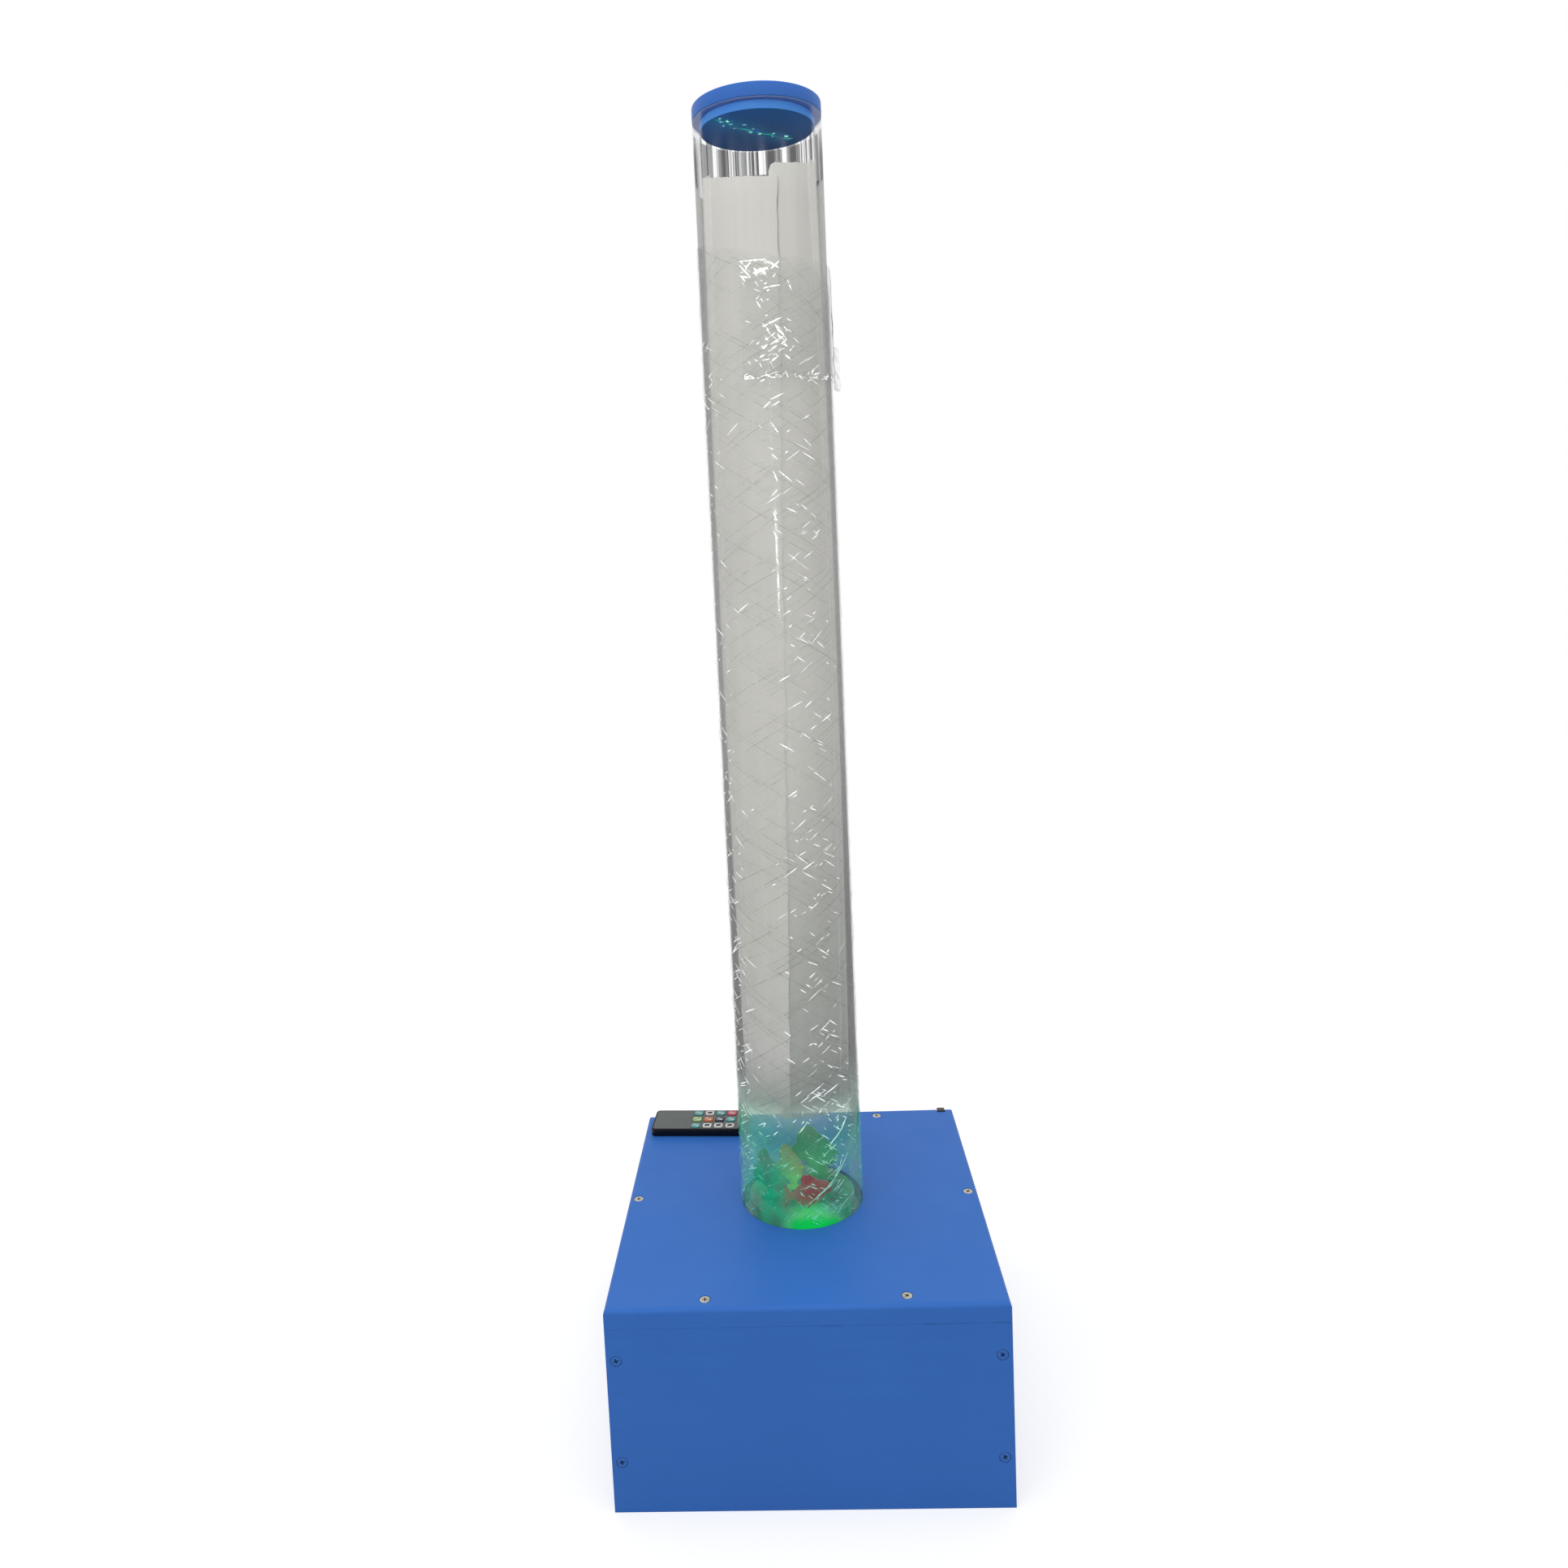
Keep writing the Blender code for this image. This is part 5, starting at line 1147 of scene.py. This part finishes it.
class LAMP_OT_cap(LampOperator):
    """Build the cap: its disc and the plug under it, with the vent through both"""
    bl_idname = "lamp.cap"
    bl_label = "Cap"

    def build(self):
        paint = painted_board("Blue cap paint", self.colours.cap_paint)
        low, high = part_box("cap_disc")
        disc = self.make_disc("cap_top", low.z, high.z, high.x)
        stand_in(disc, [paint], "cap", "blue_paint", "cap_disc")
        low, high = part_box("cap_plug")
        plug = self.make_disc("cap_plug_disc", low.z, high.z, high.x)
        stand_in(plug, [plug_paint(self.colours, low.z)], "cap", "blue_paint", "cap_plug")

    def make_disc(self, name, low, high, radius):
        """A disc with rounded rims and the vent through its middle."""
        piece = drum(name, radius, low, high, self.sizes.tube_sides)
        bevel_edges(level, self.sizes.cap_edge, 3)
        pick('FACE', lambda middle, normal: abs(normal.z) > 0.999)
        bpy.ops.mesh.inset(thickness=radius - self.sizes.cap_edge - self.sizes.vent)
        bpy.ops.mesh.bridge_edge_loops()
        smooth(35)
        return piece


class LAMP_OT_disc(LampOperator):
    """Finish the bubble disc, the plate and the lamp under it, and light them"""
    bl_idname = "lamp.disc"
    bl_label = "Lit disc"

    def build(self):
        paint_nodes(lit_disc(self.colours), "bubble_disc")
        paint_nodes(moulded("Base plate acrylic", shade_of(190, 205, 200), 0.2), "tube_base_plate")
        paint_nodes(moulded("White barb", shade_of(225, 225, 220)), "air_barb")
        paint_nodes(moulded("Green lamp board", shade_of(28, 92, 58)), "lamp_board")
        data = bpy.data.lights.new("glow", 'AREA')
        data.shape = 'DISK'
        data.size = 0.06
        data.color = (0.03, 1.0, 0.36)
        data.energy = 0.007
        light = bpy.data.objects.new("glow", data)
        bpy.context.collection.objects.link(light)
        light.location = (0.0, -0.014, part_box("bubble_disc")[1].z + 0.0015)
        light.rotation_euler = (math.pi, 0, 0)
        light.visible_camera = False


class LAMP_OT_liner(LampOperator):
    """Build the milky sheet rolled inside the tube"""
    bl_idname = "lamp.liner"
    bl_label = "Liner sheet"

    def build(self):
        start, lap, skew = math.radians(-17), math.radians(9), math.radians(27)
        turn = math.tau + lap
        gap, spread = 0.0005, 0.0009
        inner = tube_high.x - self.sizes.tube_wall - gap - spread
        bottom, top, corner = liner_low.z, 0.997, 0.006
        tilt, fall = 0.012, 0.010
        curled = 0.97

        def on_liner(across, up):
            angle = start + across * turn + up * skew
            edge = top - tilt * math.cos(angle) + fall / 2 - fall * across
            edge += 0.0006 * wave(across, 0.083, 0.031, 0.013)
            run = across * turn * inner
            if run < corner:
                edge -= corner - math.sqrt(corner ** 2 - (corner - run) ** 2)
            height = bottom + up * (edge - bottom)
            if across > curled:
                curl = (across - curled) / 0.03
                angle += curl * 0.022 * wave(height, 0.21, 0.067, 0.024)
            return round_point(inner + spread * across, angle, height)

        piece = rolled("liner", 160, 90, on_liner, 0.0004)
        smooth(40)
        finish = milky_liner(self.colours, turn * inner, top - bottom)
        stand_in(piece, [finish], "base", "milky_sheet", "liner_sheet")


# The film: how far it winds, its gap to the tube, the step out over its own start, and its
# upper edge
FILM_TURN = math.tau + math.radians(15)
FILM_GAP = 0.0008
FILM_LAYER = 0.0007
FILM_TOP = 0.922
FILM_FALL = 0.080
# How many glints it has all over, and how many more at the foot
FILM_GLINTS, FOOT_GLINTS = 1100, 330


def film_top(across):
    """Height of the film's upper edge, which falls as the film winds to the right."""
    middle = FILM_TOP + FILM_FALL / 2 - FILM_FALL * across
    return middle + 0.0018 * wave(across, 0.31, 0.11, 0.043)


class LAMP_OT_film(LampOperator):
    """Build the clear film wound round the tube, its long creases and its bright ones"""
    bl_idname = "lamp.film"
    bl_label = "Stretch film"

    def build(self):
        self.radius = tube_high.x + FILM_GAP
        self.bottom = film_bottom

        def on_film(across, up):
            angle = -math.pi + across * FILM_TURN
            height = self.bottom + up * (film_top(across) - self.bottom)
            ripple = 0.00012 * wave(height + 0.03 * angle, 0.047, 0.019)
            return round_point(self.radius + FILM_LAYER * across + ripple, angle, height)

        piece = rolled("film", 150, 120, on_film, 0.0003)
        smooth(60)
        film = stretch_film(self.sizes, self.colours, FILM_TURN * self.radius,
                            FILM_TOP - self.bottom, board_high.z)
        stand_in(piece, [film], "base", "clear_film", "stretch_wrap")
        chance = random.Random(7)
        layer = self.radius + 0.0010
        dull = crease_gloss("Film crease", self.colours.crease, 0.20, 0.32, self.colours,
                            board_high.z, 0.0)
        stand_in(threads("film_creases", self.long_creases(chance), 0.0004, layer), [dull],
                 "base", "clear_film")
        # Painted glints: white threads that also glow
        bright = crease_gloss("Film glint", (0.97, 0.98, 0.97), 0.9, 0.9, self.colours,
                              board_high.z, 0.22)
        stand_in(threads("film_glints", self.glints(chance), 0.0005, layer), [bright],
                 "base", "clear_film")

    def crease(self, angle, height, climb, length, bend=0.0):
        """Points of one crease from its left end, kept on the film."""
        steps = max(3, round(length / 0.006))
        points = []
        for index in range(steps + 1):
            along = index / steps * length
            slope = climb + bend * (index / steps - 0.5)
            here = angle + along * math.cos(slope) / self.radius
            rise = height + along * math.sin(slope)
            across = (here % math.tau + math.pi) % math.tau / FILM_TURN
            if self.bottom + 0.002 < rise < film_top(across) - 0.003:
                points.append(round_point(self.radius + FILM_LAYER * across + 0.0002, here, rise))
        return points

    def long_creases(self, chance):
        """Nearly parallel rows, climbing to the right and to the left, with gaps."""
        rows = []
        room = math.tau * self.radius
        for climb, pitch in ((1, 0.78), (-1, 0.86)):
            slope = climb * self.sizes.crease_angle
            step = self.sizes.crease_pitch * pitch / math.cos(slope)
            drop = room * math.tan(self.sizes.crease_angle)
            start = self.bottom - (drop if climb > 0 else 0)
            end = 0.96 + (0 if climb > 0 else drop)
            height = start
            while height < end:
                height += step * chance.uniform(0.35, 1.65)
                tilt = slope * chance.uniform(0.90, 1.10)
                travelled = chance.uniform(0, 0.05)
                while travelled < room / math.cos(tilt):
                    length = chance.uniform(0.025, 0.120)
                    angle = -math.pi + travelled * math.cos(tilt) / self.radius
                    rows.append((chance.uniform(0.6, 1.0), self.crease(
                        angle, height + travelled * math.sin(tilt), tilt, length,
                        chance.uniform(-0.08, 0.08))))
                    travelled += length + chance.uniform(0.002, 0.030)
        return rows

    def glints(self, chance):
        """Short bright creases as painted glints, white and glowing, most of them a little to the
        right of each side's middle, small ones crowded at the foot, and listed ones: bright folds
        near the foot and dashes of painted highlight at the front."""
        rows = []
        while len(rows) < FILM_GLINTS:
            side = chance.choice((21, 111, 201, 291))
            angle = math.radians(side + chance.gauss(0, 14))
            height = self.bottom + 0.004 + chance.random() ** 1.5 * 0.70
            climb = chance.choice((-1, 1)) * math.radians(chance.uniform(24, 42))
            length = chance.choice((0.003, 0.004, 0.006, 0.009, 0.013))
            rows.append((chance.uniform(0.3, 0.95), self.crease(angle, height, climb, length)))
        for _ in range(FOOT_GLINTS):
            angle = chance.uniform(-math.pi, math.pi)
            height = self.bottom + 0.003 + chance.random() ** 1.2 * 0.095
            climb = chance.choice((-1, 1)) * math.radians(chance.uniform(15, 70))
            rows.append((chance.uniform(0.3, 0.75), self.crease(
                angle, height, climb, chance.uniform(0.0015, 0.006))))
        for angle, height, climb, length, bend in (
                (26, 0.227, 37, 0.024, 0.12), (6, 0.182, 36, 0.050, 0.20),
                (28, 0.196, 52, 0.022, 0.2), (-1, 0.241, 48, 0.011, 0.1),
                (-34, 0.243, 60, 0.005, 0), (-25, 0.237, 45, 0.007, 0),
                (8, 0.272, 30, 0.017, 0.05), (24, 0.271, 22, 0.015, 0),
                (2, 0.817, 24, 0.011, 0), (-4, 0.811, 42, 0.007, 0), (3, 0.812, 31, 0.007, 0),
                (2, 0.800, -58, 0.009, 0), (1, 0.777, -43, 0.006, 0), (2, 0.764, -70, 0.008, 0),
                (0, 0.746, 47, 0.006, 0), (0, 0.734, -66, 0.007, 0), (0, 0.719, -63, 0.006, 0)):
            rows.append((1.0, self.crease(math.radians(angle), height, math.radians(climb),
                                          length, bend)))
        return rows


TAPE_LOW, TAPE_HIGH = 0.833, 0.920
TAPE_START, TAPE_TURN = math.radians(-20), math.radians(108)
# Where its crinkles stop: degrees at the left, and a height
CRINKLE_LEFT, CRINKLE_TOP = -19, 0.9185


class LAMP_OT_tape(LampOperator):
    """Build the clear tape on the film, with its loose corner"""
    bl_idname = "lamp.tape"
    bl_label = "Clear tape"

    def build(self):
        radius = tube_high.x + 0.0022
        end = TAPE_START + TAPE_TURN
        onward = Vector((math.cos(end), math.sin(end), 0))
        outward = Vector((math.sin(end), -math.cos(end), 0))
        arc_share = 0.84
        flap_low, flap_high, flap_long = 0.829, 0.863, 0.016
        crinkle = self.sizes.crinkle

        def on_tape(across, up):
            near = TAPE_LOW + up * (TAPE_HIGH - TAPE_LOW)
            if across <= arc_share:
                share = across / arc_share
                ripple = wave(share, 0.41, 0.17, 0.07) * (1 if up < 0.5 else 0.6)
                height = near + 0.0016 * ripple
                folds = wave(height + 0.02 * share, 0.0093, 0.0131) * wave(share, 0.043, 0.071)
                edge = max(0.0, 1 - up / 0.16)
                return round_point(radius + crinkle * (0.5 + 0.5 * folds * edge),
                                   TAPE_START + share * TAPE_TURN, height)
            away = (across - arc_share) / (1 - arc_share)
            height = flap_low + up * (flap_high - flap_low)
            height = near + (height - near) * min(1, away * 3)
            point = round_point(radius + crinkle * 0.5, end, height)
            curl = away ** 2 * 0.005 + 0.0006 * wave(height + away * 0.01, 0.011, 0.017)
            return point + onward * away * flap_long + outward * curl

        piece = rolled("tape", 120, 72, on_tape, 0.0002)
        smooth(60)
        stand_in(piece, [clear_tape(self.colours, TAPE_LOW)], "base", "clear_film", "wrap_tape")
        self.make_crinkles(radius + crinkle * 0.5 + 0.0001)

    def make_crinkles(self, radius):
        """Short bright crinkles, white and glowing as painted glints: broad ones where the tape's
        top is bunched, a cluster lower down, and fine ones along its lower edge."""
        chance = random.Random(3)
        rows = []
        for _ in range(70):
            rows.append((chance.uniform(0.3, 0.8), self.crinkle_row(
                radius, chance.gauss(30, 34), chance.gauss(0.8345, 0.0012),
                chance.uniform(-75, 75), chance.uniform(0.002, 0.006))))
        for middle, rise in ((5, 0.860), (-8, 0.910)):
            for _ in range(44):
                rows.append((chance.uniform(0.3, 1.0), self.crinkle_row(
                    radius, chance.gauss(middle, 8), chance.gauss(rise, (rise - 0.8) * 0.16),
                    chance.choice((-45, 30)) + chance.uniform(-25, 25),
                    chance.uniform(0.0015, 0.006))))
        for angle, height, climb, length, stout in (
                (-8, 0.909, 17, 0.012, 3.2), (-13, 0.918, 6, 0.009, 1.6),
                (-19, 0.916, -49, 0.013, 1.5), (-19, 0.908, -14, 0.008, 1.6),
                (5, 0.917, -32, 0.009, 1.8), (6, 0.911, 40, 0.010, 1.5),
                (-19, 0.909, -51, 0.007, 1.4), (0, 0.898, 9, 0.013, 1.4),
                (20, 0.904, -67, 0.008, 1.3), (-6, 0.889, -60, 0.006, 1.2),
                (-2, 0.913, -50, 0.007, 1.8), (-7, 0.913, -51, 0.006, 2.2),
                (-14, 0.912, 58, 0.005, 1.4), (-2, 0.870, 24, 0.016, 1.5),
                (9, 0.870, -48, 0.010, 1.9), (3, 0.862, 38, 0.006, 1.5),
                (4, 0.857, 30, 0.008, 1.6), (-3, 0.854, 37, 0.005, 1.8),
                (2, 0.852, 33, 0.008, 1.5), (3, 0.844, 36, 0.008, 1.5),
                (15, 0.850, -40, 0.006, 1.6), (-5, 0.848, 30, 0.004, 1.8)):
            rows.append((stout * 0.85, self.crinkle_row(radius, angle, height, climb, length)))
        # Painted glints: white threads that also glow
        bright = crease_gloss("Tape crinkle", (0.97, 0.97, 0.96), 0.92, 0.92, self.colours,
                              board_high.z, 0.3)
        stand_in(threads("tape_crinkles", rows, 0.0005, radius), [bright], "base", "clear_film")

    def crinkle_row(self, radius, angle, height, climb, length):
        """Points of one crinkle, kept on the tape."""
        angle, climb = math.radians(max(CRINKLE_LEFT, angle)), math.radians(climb)
        row = []
        for index in range(4):
            along = index / 3 * length
            up = min(CRINKLE_TOP, max(TAPE_LOW, height + along * math.sin(climb)))
            row.append(round_point(radius, angle + along * math.cos(climb) / radius, up))
        return row


# Length, height and thickness, and whether the fish stands on its tail
FISH = {
    "fish_red": (0.042, 0.024, 0.010, False),
    "fish_green": (0.051, 0.036, 0.011, True),
    "fish_yellow": (0.044, 0.021, 0.010, True),
    "fish_teal": (0.047, 0.019, 0.009, True),
}


class LAMP_OT_fish(LampOperator):
    """Build the four moulded fish"""
    bl_idname = "lamp.fish"
    bl_label = "Fish"

    def build(self):
        for name, (length, height, thickness, standing) in FISH.items():
            colour = tuple(getattr(self.colours, name.replace("fish_", "")))
            self.make_fish(name, length, height, thickness, standing, colour)

    def make_fish(self, name, length, height, thickness, standing, colour):
        """One fish: a ball drawn out to a tail, two fins and a blunt head."""
        body = length * 0.76
        clear_selection()
        bpy.ops.mesh.primitive_uv_sphere_add(
            segments=14, ring_count=10, radius=0.5, location=(length - body / 2, 0, 0),
            rotation=(0, math.pi / 2, 0))
        piece = bpy.context.object
        fix_place(location=False)
        piece.scale = (body, thickness, height)
        settle(name.replace("fish_", "") + "_fish")
        tail_start = length - body
        pick('FACE', lambda middle, normal: middle.x < tail_start + body * 0.055)
        for reach, back, size in ((0.07, 0.05, (0.3, 0.7, 0.9)), (0.09, 0.13, (0.3, 0.8, 2.3)),
                                  (0.05, 0.18, (0.3, 0.5, 1.45))):
            extrude((-reach * length, 0, 0))
            resize(size, (tail_start - back * length, 0, 0))
        pick('FACE', lambda middle, normal: normal.z > 0.55 and abs(middle.y) < thickness * 0.2
             and 0.42 * length < middle.x < 0.72 * length)
        for back, lift, size, along, rise in ((0.03, 0.13, (0.85, 0.6, 1), 0.52, 0.6),
                                              (0.05, 0.15, (0.55, 0.5, 0.6), 0.49, 0.7)):
            extrude((-back * length, 0, lift * height))
            resize(size, (along * length, 0, rise * height))
        pick('FACE', lambda middle, normal: normal.z < -0.6 and abs(middle.y) < thickness * 0.2
             and 0.50 * length < middle.x < 0.66 * length)
        extrude((-0.04 * length, 0, -0.03 * height))
        resize((0.6, 0.6, 1), (0.54 * length, 0, -0.5 * height))
        for reach, lift in ((0.50, 0.07), (0.68, 0.09), (0.84, 0.10)):
            pick('VERT', lambda corner: corner.x > reach * length)
            bpy.ops.transform.translate(value=(0, 0, lift * height))
            resize((1, 0.9, 0.88), (length, 0, lift * height * 2))
        object_mode()
        low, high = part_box(name)
        middle = (low + high) / 2
        make_active(piece)
        turn = Euler((0, -math.pi / 2 if standing else 0, 0))
        piece.rotation_euler = turn
        fix_place()
        right = max(corner.co.x for corner in piece.data.vertices)
        lowest = min(corner.co.z for corner in piece.data.vertices)
        shift = Vector((high.x - right, middle.y, low.z - lowest))
        piece.location = shift
        fix_place()
        spots = [Vector((0.84 * length, side * thickness * 0.34, 0.24 * height))
                 for side in (-1, 1)]
        eyes = [turn.to_matrix() @ spot + shift for spot in spots]
        smooth(22)
        finish = fish_plastic(name.replace("fish_", "").capitalize() + " plastic", colour, eyes)
        stand_in(piece, [finish], name, name.replace("fish_", "") + "_plastic", name)


REMOTE_TURN = math.radians(-3)
# Half sizes of the case and of a key
REMOTE_LONG, REMOTE_WIDE = 0.0425, 0.019
KEY_LONG, KEY_WIDE = 0.0041, 0.0038
# The colour of a key, that of its mark, and the keys that have them
KEY_COLOURS = {
    "teal_key": (shade_of(84, 158, 162), shade_of(208, 226, 224), ("a1", "a3", "b4", "c1")),
    "white_key": (shade_of(208, 206, 204), shade_of(60, 64, 78), ("a2", "c2", "c3", "c4")),
    "dark_key": (shade_of(38, 40, 58), shade_of(214, 216, 222), ("b3",)),
    "lime_key": (shade_of(156, 196, 120), shade_of(232, 226, 190), ("b1",)),
    "orange_key": (shade_of(206, 108, 62), shade_of(238, 214, 196), ("b2",)),
    "red_key": (shade_of(206, 76, 96), shade_of(232, 206, 214), ("a4",)),
}


class LAMP_OT_remote(LampOperator):
    """Build the card remote: its case and its twelve keys"""
    bl_idname = "lamp.remote"
    bl_label = "Remote"

    def build(self):
        low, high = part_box("remote_case")
        self.middle = (low + high) / 2
        self.low, self.high = low.z, high.z
        self.place = Matrix.Translation((self.middle.x, self.middle.y, 0)) @ Matrix.Rotation(
            REMOTE_TURN, 4, 'Z')
        self.make_case()
        self.make_keys()
        black = moulded("Battery tray plastic", self.colours.remote_body, 0.45)
        paint_nodes(black, "battery_tray")
        paint_nodes(plated("Coin cell steel", shade_of(206, 208, 210), 0.25), "coin_cell")

    def make_case(self):
        """The case with its sunk grey face, the keys' pockets and the tray's slot."""
        piece = block("remote_body", (-REMOTE_LONG, -REMOTE_WIDE, self.low),
                      (REMOTE_LONG, REMOTE_WIDE, self.high))
        bevel_edges(upright, 0.004, 6)
        bevel_edges(level, 0.0009, 3)
        body = moulded("Remote black plastic", self.colours.remote_body, 0.38, shine=0.2)
        face = moulded("Remote grey face", self.colours.remote_face, 0.34, shine=0.25)
        piece.data.materials.append(body)
        piece.data.materials.append(face)
        # The grey face, sunk inside a fine black rim
        pick('FACE', lambda middle, normal: normal.z > 0.99 and middle.z > self.high - 0.0001)
        bpy.ops.mesh.inset(thickness=0.0006)
        extrude((0, 0, -0.00012))
        bpy.ops.mesh.inset(thickness=0.0002)
        piece.active_material_index = 1
        bpy.ops.object.material_slot_assign()
        object_mode()
        cutters = []
        for row in "abc":
            for column in "1234":
                spot = self.key_spot(f"key_{row}{column}")
                reach = Vector((KEY_LONG + FIT, KEY_WIDE + FIT))
                cutters.append(block("pocket", (*(spot.xy - reach), self.high - 0.0025),
                                     (*(spot.xy + reach), self.high + 0.002)))
        tray_low, tray_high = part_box("battery_tray")
        slot_wide, slot_deep = 0.0115, 0.0263
        cutters.append(block("tray_slot", (-REMOTE_LONG - 0.004, -slot_wide, tray_low.z - FIT),
                             (-REMOTE_LONG + slot_deep, slot_wide, tray_high.z + FIT)))
        cut_with(piece, cutters)
        make_active(piece)
        piece.matrix_world = self.place
        fix_place()
        smooth(35)
        stand_in(piece, [], "remote", "grey_plastic", "remote_case")

    def key_spot(self, name):
        """A key's middle, measured from the remote's own middle."""
        low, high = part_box(name)
        return self.place.inverted() @ ((low + high) / 2)

    def make_keys(self):
        """The keys, each with a sunk mark in its middle."""
        low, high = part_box("key_a1")
        for slot_name, (colour, mark, keys) in KEY_COLOURS.items():
            label = slot_name.replace("_key", "").capitalize()
            pad = moulded(label + " key", colour, 0.45)
            print_ink = moulded(label + " key mark", mark, 0.45)
            model = block("key", (-KEY_LONG, -KEY_WIDE, low.z), (KEY_LONG, KEY_WIDE, high.z))
            bevel_edges(upright, 0.0018, 4)
            pick('FACE', lambda middle, normal: normal.z > 0.9)
            bpy.ops.mesh.inset(thickness=0.0006)
            bpy.ops.transform.translate(value=(0, 0, 0.0002))
            bpy.ops.mesh.inset(thickness=0.0012)
            bpy.ops.mesh.inset(thickness=0.0001)
            bpy.ops.transform.translate(value=(0, 0, -0.0001))
            model.data.materials.append(pad)
            model.data.materials.append(print_ink)
            model.active_material_index = 1
            bpy.ops.object.material_slot_assign()
            object_mode()
            smooth(50)
            for key in keys:
                spot = self.key_spot(f"key_{key}")
                copy = twin(model, f"button_{key}",
                            self.place @ Matrix.Translation((spot.x, spot.y, 0)))
                stand_in(copy, [], f"key_{key}", slot_name, f"key_{key}")
            bpy.data.objects.remove(model, do_unlink=True)


class LAMP_OT_works(LampOperator):
    """Finish the pump, hoses, sockets, switch, controller and leads"""
    bl_idname = "lamp.works"
    bl_label = "Inner works"

    def build(self):
        white = moulded("White plastic", shade_of(224, 224, 218), 0.4)
        grey = moulded("Grey plastic", shade_of(138, 142, 144), 0.42)
        black = moulded("Black plastic", shade_of(26, 27, 30), 0.42)
        rubber = moulded("Black rubber", shade_of(30, 30, 30), 0.75, 0.00006)
        lens = moulded("Dark lens", shade_of(20, 8, 12), 0.12, 0.00001)
        red = moulded("Red rocker", shade_of(176, 30, 32), 0.35)
        iron = plated("Coil iron", shade_of(150, 146, 142), 0.4)
        paint_nodes(white, "air_hose_lower", "air_hose_upper", "check_valve")
        paint_nodes(grey, "pump_tray", "pump_cover")
        paint_nodes(black, "dc_inlet", "switch_body", "controller_case")
        paint_nodes(rubber, "pump_diaphragm", "wire_loom")
        paint_nodes(lens, "receiver_eye")
        paint_nodes(red, "switch_rocker")
        paint_nodes(iron, "pump_coil", "pump_arm")


STEPS = (LAMP_OT_stage, LAMP_OT_boards, LAMP_OT_screws, LAMP_OT_tube, LAMP_OT_cap, LAMP_OT_disc,
         LAMP_OT_liner, LAMP_OT_film, LAMP_OT_tape, LAMP_OT_fish, LAMP_OT_remote, LAMP_OT_works)


class LAMP_PT_panel(bpy.types.Panel):
    """The build's steps and settings in the sidebar"""
    bl_idname = "LAMP_PT_panel"
    bl_label = "Bubble tube lamp"
    bl_space_type = 'VIEW_3D'
    bl_region_type = 'UI'
    bl_category = "Lamp"

    def draw(self, context):
        layout = self.layout
        for step in STEPS:
            layout.operator(step.bl_idname)
        for group in (context.scene.lamp_sizes, context.scene.lamp_colours):
            for key in group.__annotations__:
                layout.prop(group, key)


CLASSES = (LampSizes, LampColours, *STEPS, LAMP_PT_panel)


def register():
    """Register the classes and hang the settings on the scene."""
    for item in CLASSES:
        bpy.utils.register_class(item)
    bpy.types.Scene.lamp_sizes = PointerProperty(type=LampSizes)
    bpy.types.Scene.lamp_colours = PointerProperty(type=LampColours)


def unregister():
    """Take everything off again."""
    del bpy.types.Scene.lamp_colours
    del bpy.types.Scene.lamp_sizes
    for item in reversed(CLASSES):
        bpy.utils.unregister_class(item)


def main():
    """Build every piece in order."""
    register()
    for step in STEPS:
        group, name = step.bl_idname.split(".")
        getattr(getattr(bpy.ops, group), name)()


if __name__ == "__main__":
    main()
